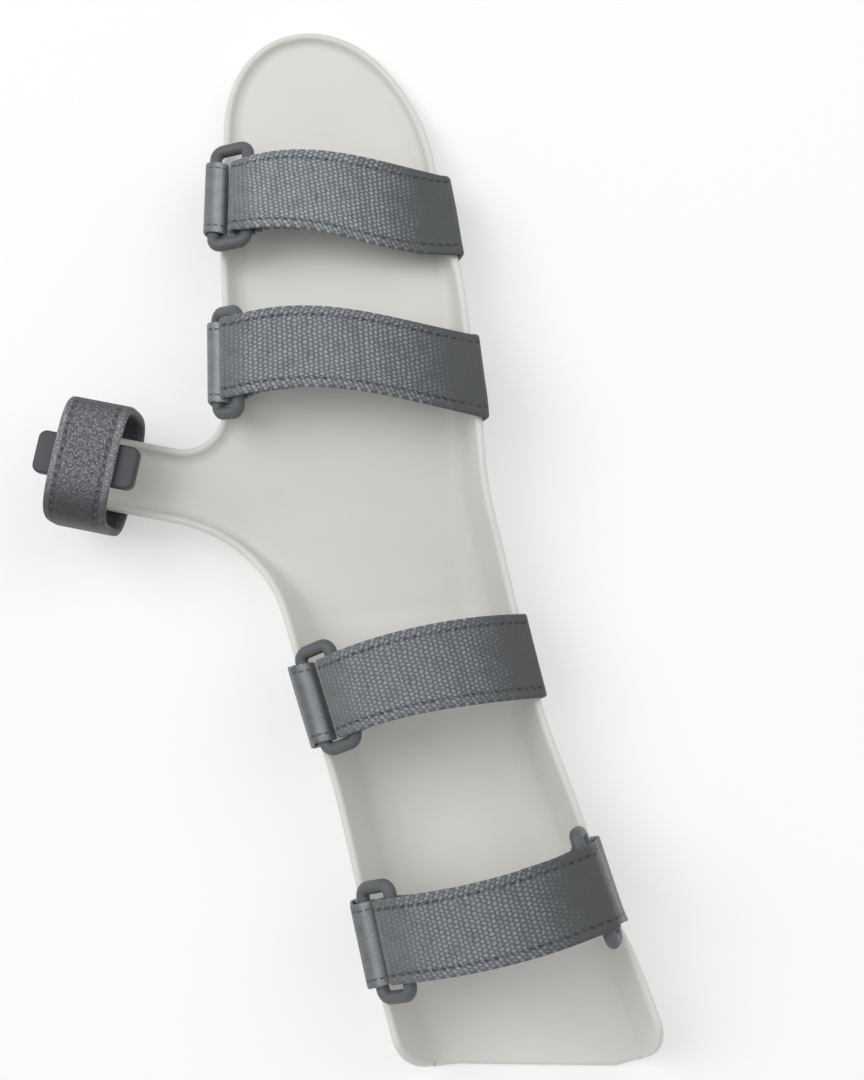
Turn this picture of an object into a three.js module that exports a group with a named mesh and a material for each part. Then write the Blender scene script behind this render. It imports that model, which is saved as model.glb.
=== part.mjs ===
// Resting wrist hand orthosis for a right hand, in millimetres.
// +Y runs along the forearm towards the fingers, +X to the little finger, +Z up, away from the palm.
// The origin is on the flat underside of the forearm trough, midway between its walls.
import * as THREE from 'three';

// Shell sizes
const FOREARM_LENGTH = 188; // elbow end to wrist crease
const WRIST_Y = 0.4787 * FOREARM_LENGTH; // wrist crease ahead of the origin
const HAND_LENGTH = 220.5; // wrist crease to the tip of the finger pan
const TROUGH_WIDTH = 83;
const PAN_WIDTH = 100;
const WALL_HEIGHT = 31; // trough wall above the table
const SHELL_WALL = 3;
const TROUGH_CORNER = 14; // outside radius between the floor and a trough wall
const LIP_CORNER = 5; // the same radius where the wall is only a lip
const WALL_LEAN = 18; // degrees off upright
const END_ROUND = 13; // the walls fall away over this length at the elbow end
const END_HEIGHT = 0.2; // share of their height that they fall to there
const PALM_RISE = 20; // underside of the palm above the table
const HAND_TURN = 10; // degrees that the hand turns to the little-finger side
const HAND_SIDE = -6; // wrist point of the hand's axis, beside the forearm's axis
const TIP_SIDE = -0.11; // peak of the pan's tip, as a share of half the pan width

// Thumb sizes
const THUMB_REACH = 97.2; // from the hand's axis to the middle of the thumb strap
const THUMB_ALONG = 49; // from the wrist crease, along the hand's axis
const TONGUE_TURN = 28; // degrees from square across the forearm
const TONGUE_WIDTH = 29;
const TONGUE_END_ROUND = 10;
const TONGUE_LEVEL = 15; // underside of the tongue above the table
const WEB_RADIUS = 15; // between finger pan and tongue
const THENAR_RADIUS = 53; // between tongue and forearm trough
const LOOP_WIDTH = 23.5; // thumb strap, along the thumb
const LOOP_SPAN = 47.6; // outside, across the thumb
const LOOP_HEIGHT = 38;
const LOOP_WALL = 3;
const PLATE_LENGTH = 38;
const PLATE_WIDTH = 16;
const PLATE_THICK = 5;
const PLATE_ROUND = 3;

// Strap and ring sizes
const STRAP_WIDTH = 30;
const STRAP_THICK = 1.8;
const STRAP_TAIL = 20; // down the outside of a trough wall past the rim
const RETURN_LENGTH = 24; // the end that is folded back round the ring and stitched
const CHAPE_THICK = 1.2;
const CHAPE_TAIL = 17;
const UNDER_TAIL = 12; // at the hand, straps and chapes run on under the floor by this much
const BAR = 4.8; // diameter of the ring's wire
const RING_SHORT = 18.2; // outside, across the two bars
const RING_CORNER = 3.2;
const BAR_LIFT = 7.2; // outer bar's centre above the shell's rim
const GAP = 0.3; // between pieces that touch

const DEG = Math.PI / 180;
const HALF_TROUGH = TROUGH_WIDTH / 2;
const HALF_PAN = PAN_WIDTH / 2;
const BAR_SPACING = RING_SHORT - BAR;
const SQUEEZE = 0.93; // straps and chapes narrow this much where they pass through a ring

// Forearm edges: along is a share of the forearm length, left and right of half the trough width
const FOREARM_EDGE = [
  { along: -0.62, left: 1.11, right: 1.19 },
  { along: -0.468, left: 1.10, right: 1.164 },
  { along: -0.370, left: 1.095, right: 1.125 },
  { along: -0.290, left: 1.085, right: 1.065 },
  { along: -0.106, left: 1.03, right: 1.045 },
  { along: 0.106, left: 0.99, right: 0.99 },
  { along: 0.229, left: 1.00, right: 1.010 },
  { along: 0.367, left: 1.01, right: 1.046 },
  { along: 0.430, left: 1.02, right: 1.065 },
];

// Hand edges: along is a share of the hand length, left and right of half the pan width
const HAND_EDGE = [
  { along: 0.081, left: 1.07, right: 0.975 },
  { along: 0.131, left: 1.05, right: 0.965 },
  { along: 0.181, left: 1.02, right: 0.972 },
  { along: 0.250, left: 0.995, right: 0.980 },
  { along: 0.297, left: 0.973, right: 0.974 },
  { along: 0.390, left: 0.930, right: 0.968 },
  { along: 0.431, left: 0.910, right: 0.968 },
  { along: 0.489, left: 0.888, right: 0.955 },
  { along: 0.540, left: 0.884, right: 0.928 },
  { along: 0.600, left: 0.876, right: 0.900 },
  { along: 0.668, left: 0.850, right: 0.86 },
  { along: 0.798, left: 0.80, right: 0.80 },
];
const TROUGH_END = FOREARM_EDGE[FOREARM_EDGE.length - 1].along;
const PAN_RUN = { low: 0.27, high: 0.39 }; // stretch of the pan's left edge that the web arc meets
// Where each side's quarter of the rounded tip begins, and the power of its curve (2 is an ellipse)
const TIP = { left: { start: 0.798, power: 2.15 }, right: { start: 0.668, power: 2 } };

// Wall heights as shares of the trough wall; along is negative on the forearm
const WALLS = [
  { along: -1.20, left: 1.00, right: 1.00 },
  { along: -0.24, left: 1.00, right: 1.00 },
  { along: -0.08, left: 0.77, right: 0.99 },
  { along: 0.05, left: 0.32, right: 0.95 },
  { along: 0.11, left: 0.22, right: 0.90 },
  { along: 0.20, left: 0.18, right: 0.78 },
  { along: 0.27, left: 0.17, right: 0.66 },
  { along: 0.32, left: 0.21, right: 0.58 },
  { along: 0.39, left: 0.30, right: 0.46 },
  { along: 0.48, left: 0.33, right: 0.36 },
  { along: 0.58, left: 0.31, right: 0.31 },
  { along: 0.68, left: 0.29, right: 0.28 },
  { along: 0.76, left: 0.277, right: 0.267 },
  { along: 0.86, left: 0.20, right: 0.20 },
  { along: 1.00, left: 0.17, right: 0.17 },
];

// Underside of the floor as a share of the palm's rise: up past the wrist, down to the fingertips
const RISE = [
  { along: -0.08, rise: 0 },
  { along: 0.00, rise: 0.13 },
  { along: 0.10, rise: 0.42 },
  { along: 0.20, rise: 0.74 },
  { along: 0.28, rise: 0.93 },
  { along: 0.36, rise: 1.00 },
  { along: 0.46, rise: 0.95 },
  { along: 0.60, rise: 0.66 },
  { along: 0.75, rise: 0.28 },
  { along: 0.86, rise: 0.04 },
  { along: 0.91, rise: 0 },
];

// Straps, from the elbow end. part and along place the middle line, and turn is in degrees with the
// little-finger end lower. Shares of the strap width: width, bow (how far the middle is drawn towards
// the fingers), flare (how far the edge nearer the fingers stands off the far rim) and ring (the ring's
// length beyond the strap). crown is the height of its top as a share of the trough wall. For each
// ring, side and slack are shares of the bar (outer bar outside the rim, and play in the chape), and
// tilt is its lean in degrees.
const STRAPS = [
  { name: 'forearm', part: 'forearm', along: -0.224, turn: 2, width: 1.06, crown: 2, bow: -0.067, flare: 0,
    ring: 0.387, rings: {
      left: { side: -0.56, tilt: 40, slack: 0.1 }, right: { side: -0.73, tilt: 80, slack: -0.08 } } },
  { name: 'wrist', part: 'forearm', along: 0.233, turn: 4.3, width: 1.04, crown: 1.774, bow: 0.083, flare: 0,
    ring: 0.327, rings: { left: { side: -0.69, tilt: 30, slack: 0.04 } } },
  { name: 'hand', part: 'hand', along: 0.336, turn: 20.5, width: 1.05, crown: 1.71, bow: 0.217, flare: 0.013,
    ring: 0.35, rings: { left: { side: 0, tilt: 48, slack: -0.12 } } },
  { name: 'fingers', part: 'hand', along: 0.655, turn: 21.5, width: 1.08, crown: 1.194, bow: 0.167,
    flare: 0.08, ring: 0.483, rings: { left: { side: 0.15, tilt: 18, slack: -0.12 } } },
];
const STRAP_ROWS = 4; // steps across a strap
const THENAR_LINE_TURN = 6;
const WEB_LINE_TURN = 19;
const END_LINE_TURN = 14;

const COLORS = {
  shell: 0xd2d0c9,
  strap: 0x777b80,
  chape: 0x717679,
  ring: 0x70747a,
  thumbStrap: 0x6c6d71,
  thumbPlate: 0x5b5d62,
};

// Value of one column of a table at a place along it, on a cubic that never overshoots its rows
function tableValue(rows, key, along) {
  const last = rows.length - 1;
  const place = THREE.MathUtils.clamp(along, rows[0].along, rows[last].along);
  let i = 0;
  while (i < last - 1 && place > rows[i + 1].along) i += 1;
  const secant = (k) => (rows[k + 1][key] - rows[k][key]) / (rows[k + 1].along - rows[k].along);
  const slope = (k) => {
    if (k === 0) return secant(0);
    if (k === last) return secant(last - 1);
    const before = secant(k - 1);
    const after = secant(k);
    return before * after <= 0 ? 0 : (2 * before * after) / (before + after);
  };
  const step = rows[i + 1].along - rows[i].along;
  const t = (place - rows[i].along) / step;
  const rest = 1 - t;
  return rows[i][key] * (1 + 2 * t) * rest * rest + rows[i + 1][key] * t * t * (3 - 2 * t)
    + step * (slope(i) * t * rest * rest - slope(i + 1) * t * t * rest);
}

// Plan point of the hand's own axes: across to the little finger and along from the wrist crease
const HAND_ACROSS = new THREE.Vector2(Math.cos(HAND_TURN * DEG), -Math.sin(HAND_TURN * DEG));
const HAND_FORWARD = new THREE.Vector2(Math.sin(HAND_TURN * DEG), Math.cos(HAND_TURN * DEG));
const WRIST = new THREE.Vector2(HAND_SIDE, WRIST_Y);
function handPoint(across, along) {
  return WRIST.clone().addScaledVector(HAND_ACROSS, across).addScaledVector(HAND_FORWARD, along);
}

// Place along the hand's axis as a share: of the hand length past the wrist, of the forearm before it
function handShare(point) {
  const along = point.clone().sub(WRIST).dot(HAND_FORWARD);
  return along > 0 ? along / HAND_LENGTH : along / FOREARM_LENGTH;
}

// Height of the shell's underside over the table: the tongue stays level beside the rising palm
function riseAt(point) {
  const across = point.clone().sub(WRIST).dot(HAND_ACROSS);
  const palm = PALM_RISE * tableValue(RISE, 'rise', handShare(point));
  const beside = THREE.MathUtils.smoothstep(-across, HALF_PAN * 0.9, HALF_PAN * 1.45);
  return THREE.MathUtils.lerp(palm, TONGUE_LEVEL, beside);
}

// Outside of the wall in its own upright plane: an arc off the floor, then a straight leaning wall.
// s is the length along it from the floor edge; negative s runs under the floor.
const ARC_PARTS = 4; // facets of the arc; the straight wall is one more
function wallProfile(height) {
  const top = (90 - WALL_LEAN) * DEG;
  const radius = THREE.MathUtils.lerp(LIP_CORNER, TROUGH_CORNER, height / WALL_HEIGHT);
  const arc = radius * top;
  const length = arc + (height - radius * (1 - Math.cos(top))) / Math.sin(top);
  const at = (s) => {
    const angle = THREE.MathUtils.clamp(s / radius, 0, top);
    const rest = s - radius * angle;
    return {
      out: radius * Math.sin(angle) + rest * Math.cos(angle),
      up: radius * (1 - Math.cos(angle)) + rest * Math.sin(angle),
      angle,
    };
  };
  // Length up the wall at which it is this high
  const lengthTo = (h) => (h < height - (length - arc) * Math.sin(top)
    ? radius * Math.acos(1 - h / radius) : length - (height - h) / Math.sin(top));
  return { length, arc, at, lengthTo };
}

// Edge curves in plan

function forearmEdge(side, from, to) {
  const sign = side === 'left' ? -1 : 1;
  const points = [];
  const steps = 24;
  for (let i = 0; i <= steps; i += 1) {
    const y = THREE.MathUtils.lerp(from, to, i / steps);
    const share = tableValue(FOREARM_EDGE, side, y / FOREARM_LENGTH);
    points.push(new THREE.Vector2(sign * HALF_TROUGH * share, y));
  }
  return points;
}

function handEdgePoint(side, share) {
  const sign = side === 'left' ? -1 : 1;
  return handPoint(sign * HALF_PAN * tableValue(HAND_EDGE, side, share), share * HAND_LENGTH);
}

function tipPoint(side, angle) {
  const peak = TIP_SIDE * HALF_PAN;
  const { start, power } = TIP[side];
  const edge = (side === 'left' ? -1 : 1) * HALF_PAN * tableValue(HAND_EDGE, side, start);
  return handPoint(
    peak + (edge - peak) * Math.cos(angle) ** (2 / power),
    HAND_LENGTH * (start + (1 - start) * Math.sin(angle) ** (2 / power)),
  );
}

function handEdge(side, from) {
  const points = [];
  const steps = 24;
  for (let i = 0; i <= steps; i += 1) {
    points.push(handEdgePoint(side, THREE.MathUtils.lerp(from, TIP[side].start, i / steps)));
  }
  const tipSteps = 30;
  for (let i = 1; i < tipSteps; i += 1) points.push(tipPoint(side, (Math.PI / 2) * (i / tipSteps)));
  return points;
}

// Where the line through a, towards aDir, meets the line through b, towards bDir
function meet(a, aDir, b, bDir) {
  const cross = aDir.x * bDir.y - aDir.y * bDir.x;
  const t = ((b.x - a.x) * bDir.y - (b.y - a.y) * bDir.x) / cross;
  return a.clone().addScaledVector(aDir, t);
}

// Round of a corner between its two neighbours, from one tangent point to the other
function cornerArc(before, corner, after, radius, steps) {
  const toBefore = before.clone().sub(corner).normalize();
  const toAfter = after.clone().sub(corner).normalize();
  const half = Math.acos(toBefore.dot(toAfter)) / 2;
  const centre = corner.clone()
    .addScaledVector(toBefore.clone().add(toAfter).normalize(), radius / Math.sin(half));
  const first = corner.clone().addScaledVector(toBefore, radius / Math.tan(half)).sub(centre);
  const last = corner.clone().addScaledVector(toAfter, radius / Math.tan(half)).sub(centre);
  const from = first.angle();
  let turn = last.angle() - from;
  if (turn > Math.PI) turn -= 2 * Math.PI;
  if (turn < -Math.PI) turn += 2 * Math.PI;
  const points = [];
  for (let i = 0; i <= steps; i += 1) {
    const angle = from + turn * (i / steps);
    points.push(new THREE.Vector2(Math.cos(angle), Math.sin(angle)).multiplyScalar(radius).add(centre));
  }
  return points;
}

const ARC_STEPS = 24; // even, so that a corner's middle is one of its points
const loopCentre = handPoint(-THUMB_REACH, THUMB_ALONG);
const tongueOut = new THREE.Vector2(-Math.cos(TONGUE_TURN * DEG), Math.sin(TONGUE_TURN * DEG));
const tongueAcross = new THREE.Vector2(Math.sin(TONGUE_TURN * DEG), Math.cos(TONGUE_TURN * DEG));
const tongueEnd = loopCentre.clone().addScaledVector(tongueOut, LOOP_WIDTH / 2);
const endLow = tongueEnd.clone().addScaledVector(tongueAcross, -TONGUE_WIDTH / 2);
const endHigh = tongueEnd.clone().addScaledVector(tongueAcross, TONGUE_WIDTH / 2);
const panLow = handEdgePoint('left', PAN_RUN.low);
const panHigh = handEdgePoint('left', PAN_RUN.high);
const webCorner = meet(endHigh, tongueOut, panLow, panHigh.clone().sub(panLow));
const forearmTop = new THREE.Vector2(
  -HALF_TROUGH * tableValue(FOREARM_EDGE, 'left', TROUGH_END),
  TROUGH_END * FOREARM_LENGTH,
);
const forearmUp = new THREE.Vector2(0, 1);
const thenarCorner = meet(endLow, tongueOut, forearmTop, forearmUp);

const thenarArc = cornerArc(forearmTop.clone().addScaledVector(forearmUp, -FOREARM_LENGTH),
  thenarCorner, endLow, THENAR_RADIUS, ARC_STEPS);
const webArc = cornerArc(endHigh, webCorner, panHigh, WEB_RADIUS, ARC_STEPS);
const endLowArc = cornerArc(thenarCorner, endLow, endHigh, TONGUE_END_ROUND, ARC_STEPS);
const endHighArc = cornerArc(endLow, endHigh, webCorner, TONGUE_END_ROUND, ARC_STEPS);
const MID = ARC_STEPS / 2;

// The left edge in three runs: up to the middle of the thenar arc, round the tongue, on from the web
const elbowY = FOREARM_EDGE[0].along * FOREARM_LENGTH;
const leftLower = [...forearmEdge('left', elbowY, thenarArc[0].y - 1), ...thenarArc.slice(0, MID + 1)];
const tongueLow = [...thenarArc.slice(MID), ...endLowArc.slice(0, MID + 1)];
const tongueCap = [...endLowArc.slice(MID), ...endHighArc.slice(0, MID + 1)];
const tongueHigh = [...endHighArc.slice(MID), ...webArc.slice(0, MID + 1)].reverse();
const webShare = handShare(webArc[ARC_STEPS]) + 0.01;
const leftUpper = [...webArc.slice(MID), ...handEdge('left', webShare)];
const leftMain = [...leftLower, ...leftUpper];
const rightMain = [
  ...forearmEdge('right', elbowY, TROUGH_END * FOREARM_LENGTH), ...handEdge('right', HAND_EDGE[0].along),
];
const thenarMiddle = thenarArc[MID];
const webMiddle = webArc[MID];

// Point a share of the way along a run of points
function alongRun(run, share) {
  const lengths = [0];
  for (let i = 1; i < run.length; i += 1) lengths.push(lengths[i - 1] + run[i].distanceTo(run[i - 1]));
  const goal = share * lengths[run.length - 1];
  let i = 1;
  while (i < run.length - 1 && lengths[i] < goal) i += 1;
  return run[i - 1].clone().lerp(run[i], (goal - lengths[i - 1]) / (lengths[i] - lengths[i - 1]));
}

// Cross lines, each through (0, y) with its little-finger end turned down

function cutEdge(edge, line) {
  const distance = (p) => p.x * Math.sin(line.turn * DEG) + (p.y - line.y) * Math.cos(line.turn * DEG);
  for (let i = 1; i < edge.length; i += 1) {
    const before = distance(edge[i - 1]);
    const after = distance(edge[i]);
    if (before <= 0 && after > 0) return edge[i - 1].clone().lerp(edge[i], -before / (after - before));
  }
  throw new Error(`cross line at ${line.y} misses an edge`);
}

function lineThrough(point, turn) {
  return { y: point.y + point.x * Math.tan(turn * DEG), turn };
}

function strapLines(strap) {
  const middle = strap.part === 'hand'
    ? WRIST_Y + strap.along * HAND_LENGTH : strap.along * FOREARM_LENGTH;
  const half = (strap.width * STRAP_WIDTH) / 2 / Math.cos(strap.turn * DEG);
  const lines = [];
  for (let i = 0; i <= STRAP_ROWS; i += 1) {
    lines.push({ y: middle + half * (2 * i / STRAP_ROWS - 1), turn: strap.turn, strap: strap.name, row: i });
  }
  return lines;
}

function fill(before, after, count) {
  const lines = [];
  for (let i = 1; i <= count; i += 1) {
    const t = i / (count + 1);
    lines.push({
      y: THREE.MathUtils.lerp(before.y, after.y, t),
      turn: THREE.MathUtils.lerp(before.turn, after.turn, t),
    });
  }
  return lines;
}

const strapSet = STRAPS.map(strapLines);
const elbowLine = { y: WRIST_Y - FOREARM_LENGTH, turn: END_LINE_TURN };
const thenarLine = lineThrough(thenarMiddle, THENAR_LINE_TURN);
const webLine = lineThrough(webMiddle, WEB_LINE_TURN);
const ROOT_STEPS = 6;
const lines = [
  elbowLine, ...fill(elbowLine, strapSet[0][0], 5),
  ...strapSet[0], ...fill(strapSet[0][STRAP_ROWS], strapSet[1][0], 3),
  ...strapSet[1], ...fill(strapSet[1][STRAP_ROWS], thenarLine, 4),
  thenarLine, ...fill(thenarLine, webLine, ROOT_STEPS - 1), webLine,
  ...strapSet[2], ...fill(strapSet[2][STRAP_ROWS], strapSet[3][0], 3),
  ...strapSet[3],
];
const thenarIndex = lines.indexOf(thenarLine);
const webIndex = lines.indexOf(webLine);
const TIP_ANGLES = [14, 26, 38, 49, 59, 68, 76, 83];

// Edge stations: every place on the shell's edge that carries a column of wall points

function makeStation(point, side) {
  return { point, height: WALL_HEIGHT * tableValue(WALLS, side, handShare(point)), trim: 1 };
}

const leftStations = lines.map((line) => makeStation(cutEdge(leftMain, line), 'left'));
const rightStations = lines.map((line) => makeStation(cutEdge(rightMain, line), 'right'));
leftStations[thenarIndex] = makeStation(thenarMiddle, 'left');
leftStations[webIndex] = makeStation(webMiddle, 'left');
for (const angle of TIP_ANGLES) {
  leftStations.push(makeStation(tipPoint('left', angle * DEG), 'left'));
  rightStations.push(makeStation(tipPoint('right', angle * DEG), 'right'));
}
const ROWS = leftStations.length - 1;
const COLUMNS = 6;

// The walls fall away on a quarter round at the elbow end
for (const stations of [leftStations, rightStations]) {
  for (const station of stations) {
    const inset = 1 - Math.min(1, station.point.distanceTo(stations[0].point) / END_ROUND);
    station.trim = Math.max(END_HEIGHT, Math.sqrt(1 - inset * inset));
  }
}

const TONGUE_STEPS = 8;
const tongueLowStations = [];
const tongueHighStations = [];
for (let k = 1; k <= TONGUE_STEPS; k += 1) {
  tongueLowStations.push(makeStation(alongRun(tongueLow, k / TONGUE_STEPS), 'left'));
  tongueHighStations.push(makeStation(alongRun(tongueHigh, k / TONGUE_STEPS), 'left'));
}
const capStations = [];
for (let m = 1; m < ROOT_STEPS; m += 1) {
  capStations.push(makeStation(alongRun(tongueCap, m / ROOT_STEPS), 'left'));
}
const tipStations = [];
for (let j = 1; j < COLUMNS; j += 1) {
  const side = j < COLUMNS / 2 ? 'left' : 'right';
  const share = Math.abs(j - COLUMNS / 2) / (COLUMNS / 2);
  const lastAngle = TIP_ANGLES[TIP_ANGLES.length - 1];
  tipStations.push(makeStation(tipPoint(side, (90 - (90 - lastAngle) * share) * DEG), side));
}

const edgeStations = [
  ...leftStations.slice(0, thenarIndex + 1), ...tongueLowStations, ...capStations,
  ...[...tongueHighStations].reverse(), ...leftStations.slice(webIndex), ...tipStations,
  ...[...rightStations].reverse(),
];
edgeStations.forEach((station, k) => {
  const before = edgeStations[Math.max(0, k - 1)].point;
  const after = edgeStations[Math.min(edgeStations.length - 1, k + 1)].point;
  const travel = after.clone().sub(before).normalize();
  station.out = new THREE.Vector2(-travel.y, travel.x);
  station.profile = wallProfile(station.height);
  station.length = station.profile.length;
  station.arc = station.profile.arc;
  const { out } = station.profile.at(station.length);
  station.floor = station.point.clone().addScaledVector(station.out, -out);
});

// Point outside the shell at length s up a station's wall, held off by a distance
function skinPoint(station, s, off) {
  const { out, up, angle } = station.profile.at(s);
  const plan = station.floor.clone().addScaledVector(station.out, out + off * Math.sin(angle));
  const base = station.floor.clone().addScaledVector(station.out, out);
  return new THREE.Vector3(plan.x, plan.y, riseAt(base) + up - off * Math.cos(angle));
}

// Surfaces and solids

function newSurface() {
  return { points: [], faces: [] };
}

function addQuad(surface, a, b, c, d) {
  surface.faces.push([a, b, c], [a, c, d]);
}

function gridSurface(rows) {
  const surface = newSurface();
  const width = rows[0].length;
  for (const row of rows) surface.points.push(...row);
  for (let i = 0; i < rows.length - 1; i += 1) {
    for (let j = 0; j < width - 1; j += 1) {
      const a = i * width + j;
      addQuad(surface, a, a + width, a + width + 1, a + 1);
    }
  }
  return surface;
}

function pointNormals(surface) {
  const normals = surface.points.map(() => new THREE.Vector3());
  for (const [a, b, c] of surface.faces) {
    const ab = surface.points[b].clone().sub(surface.points[a]);
    const ac = surface.points[c].clone().sub(surface.points[a]);
    const normal = ab.cross(ac);
    for (const k of [a, b, c]) normals[k].add(normal);
  }
  return normals.map((normal) => normal.normalize());
}

// Closed wall between the surface moved out and the surface moved in, along its normals
function wallSolid(surface, outward, inward) {
  const normals = pointNormals(surface);
  const count = surface.points.length;
  const moved = (amount) => surface.points.map((p, k) => p.clone().addScaledVector(normals[k], amount));
  const points = [...moved(outward), ...moved(-inward)];
  const faces = [];
  const edges = new Map();
  for (const [a, b, c] of surface.faces) {
    faces.push([a, b, c], [a + count, c + count, b + count]);
    for (const [from, to] of [[a, b], [b, c], [c, a]]) {
      if (!edges.delete(`${to} ${from}`)) edges.set(`${from} ${to}`, [from, to]);
    }
  }
  for (const [from, to] of edges.values()) {
    faces.push([to, from, from + count], [to, from + count, to + count]);
  }
  return { points, faces };
}

function geometryOf({ points, faces }) {
  const geometry = new THREE.BufferGeometry();
  geometry.setAttribute('position', new THREE.Float32BufferAttribute(points.flatMap((p) => p.toArray()), 3));
  geometry.setIndex(faces.flat());
  geometry.computeVertexNormals();
  return geometry;
}

const materials = {
  shell: new THREE.MeshStandardMaterial({ color: COLORS.shell, roughness: 0.45, metalness: 0 }),
  strap: new THREE.MeshStandardMaterial({ color: COLORS.strap, roughness: 0.9, metalness: 0 }),
  chape: new THREE.MeshStandardMaterial({ color: COLORS.chape, roughness: 0.65, metalness: 0 }),
  ring: new THREE.MeshStandardMaterial({ color: COLORS.ring, roughness: 0.45, metalness: 0 }),
  thumbStrap: new THREE.MeshStandardMaterial({ color: COLORS.thumbStrap, roughness: 0.65, metalness: 0 }),
  thumbPlate: new THREE.MeshStandardMaterial({ color: COLORS.thumbPlate, roughness: 0.4, metalness: 0 }),
};

const orthosis = new THREE.Group();

function addPart(name, geometry, material) {
  const mesh = new THREE.Mesh(geometry, material.clone());
  mesh.name = name;
  orthosis.add(mesh);
  return mesh;
}

// Shell: floor between the edge stations, tongue beside it, then the walls round the whole edge
function makeShell() {
  const surface = newSurface();
  const floorPoint = (plan) => new THREE.Vector3(plan.x, plan.y, riseAt(plan));
  const addPoint = (point) => surface.points.push(point) - 1;
  const main = [];
  for (let i = 0; i <= ROWS; i += 1) {
    const rootShare = (i - thenarIndex) / ROOT_STEPS;
    const onRoot = rootShare > 0 && rootShare < 1;
    const left = onRoot
      ? leftStations[thenarIndex].floor.clone().lerp(leftStations[webIndex].floor, rootShare)
      : leftStations[i].floor;
    const row = [];
    for (let j = 0; j <= COLUMNS; j += 1) {
      const inner = i === ROWS && j > 0 && j < COLUMNS;
      const plan = inner ? tipStations[j - 1].floor : left.clone().lerp(rightStations[i].floor, j / COLUMNS);
      row.push(addPoint(floorPoint(plan)));
    }
    main.push(row);
  }
  const tongue = [main.slice(thenarIndex, webIndex + 1).map((row) => row[0])];
  for (let k = 1; k <= TONGUE_STEPS; k += 1) {
    const low = tongueLowStations[k - 1].floor;
    const high = tongueHighStations[k - 1].floor;
    const row = [];
    for (let m = 0; m <= ROOT_STEPS; m += 1) {
      const inner = k === TONGUE_STEPS && m > 0 && m < ROOT_STEPS;
      const plan = inner ? capStations[m - 1].floor : low.clone().lerp(high, m / ROOT_STEPS);
      row.push(addPoint(floorPoint(plan)));
    }
    tongue.push(row);
  }
  for (const grid of [main, tongue]) {
    for (let i = 0; i < grid.length - 1; i += 1) {
      for (let j = 0; j < grid[i].length - 1; j += 1) {
        addQuad(surface, grid[i][j], grid[i + 1][j], grid[i + 1][j + 1], grid[i][j + 1]);
      }
    }
  }
  const edgeIndex = [
    ...main.slice(0, thenarIndex + 1).map((row) => row[0]),
    ...tongue.slice(1).map((row) => row[0]),
    ...tongue[TONGUE_STEPS].slice(1, ROOT_STEPS),
    ...tongue.slice(1).map((row) => row[ROOT_STEPS]).reverse(),
    ...main.slice(webIndex).map((row) => row[0]),
    ...main[ROWS].slice(1, COLUMNS),
    ...[...main].reverse().map((row) => row[COLUMNS]),
  ];
  const columns = edgeStations.map((station, k) => {
    const share = station.profile.lengthTo(station.height * station.trim) / station.length;
    const column = [edgeIndex[k]];
    for (let w = 1; w <= ARC_PARTS; w += 1) {
      column.push(addPoint(skinPoint(station, share * station.arc * w / ARC_PARTS, 0)));
    }
    column.push(addPoint(skinPoint(station, share * station.length, 0)));
    return column;
  });
  for (let k = 0; k < columns.length - 1; k += 1) {
    for (let w = 0; w <= ARC_PARTS; w += 1) {
      addQuad(surface, columns[k][w], columns[k][w + 1], columns[k + 1][w + 1], columns[k + 1][w]);
    }
  }
  addPart('shell', geometryOf(wallSolid(surface, 0, SHELL_WALL)), materials.shell);
}

// Rows of one strap: where each of its cross lines meets the shell's rim on both sides

function rowsOfStrap(strap) {
  const rows = [];
  lines.forEach((line, i) => {
    if (line.strap !== strap.name) return;
    const right = new THREE.Vector2(Math.cos(line.turn * DEG), -Math.sin(line.turn * DEG));
    rows.push({ left: leftStations[i], right: rightStations[i], across: right, y: line.y, turn: line.turn });
  });
  return rows;
}

const UP = new THREE.Vector3(0, 0, 1);
const lift = (v) => new THREE.Vector3(v.x, v.y, 0);

// A ring's own axes: long along the rim, short from the outer bar up to the inner bar
function ringFrame(strap, side) {
  const rows = rowsOfStrap(strap);
  const { side: sideways, tilt } = strap.rings[side];
  const rims = rows.map((row) => skinPoint(row[side], row[side].length, 0));
  const long = rims[rims.length - 1].clone().sub(rims[0]).normalize();
  const inward = lift(rows[0].across).multiplyScalar(side === 'left' ? 1 : -1);
  const short = inward.clone().multiplyScalar(Math.cos(tilt * DEG));
  short.addScaledVector(UP, Math.sin(tilt * DEG));
  short.addScaledVector(long, -short.dot(long)).normalize();
  const middle = rims[0].clone().lerp(rims[rims.length - 1], 0.5);
  const outer = middle.clone().addScaledVector(inward, -sideways * BAR).addScaledVector(UP, BAR_LIFT);
  const inner = outer.clone().addScaledVector(short, BAR_SPACING);
  return { long, short, inward, outer, inner, rows, length: (strap.width + strap.ring) * STRAP_WIDTH };
}

// Point of a bar in one row's own upright plane
function barPoint(frame, bar, row) {
  const normal = new THREE.Vector3(Math.sin(row.turn * DEG), Math.cos(row.turn * DEG), 0);
  const start = new THREE.Vector3(0, row.y, 0);
  const step = start.sub(bar).dot(normal) / frame.long.dot(normal);
  return bar.clone().addScaledVector(frame.long, SQUEEZE * step);
}

// Fold of a strap round a bar, from its top, round the side that faces the ring's middle, to its bottom
const EYE_WIDE = 4.9; // half width and half height of the fold's middle line
const EYE_HIGH = 4.0;
const EYE_SHIFT = 1.2; // the fold hangs this far past the bar
const EYE_STEPS = 6;
function strapEye(bar, ahead, above) {
  const centre = bar.clone().addScaledVector(ahead, -EYE_SHIFT);
  const points = [];
  for (let i = 0; i <= EYE_STEPS; i += 1) {
    const angle = Math.PI * (0.5 + i / EYE_STEPS);
    points.push(centre.clone().addScaledVector(ahead, EYE_WIDE * Math.cos(angle))
      .addScaledVector(above, EYE_HIGH * Math.sin(angle)));
  }
  return points;
}

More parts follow.
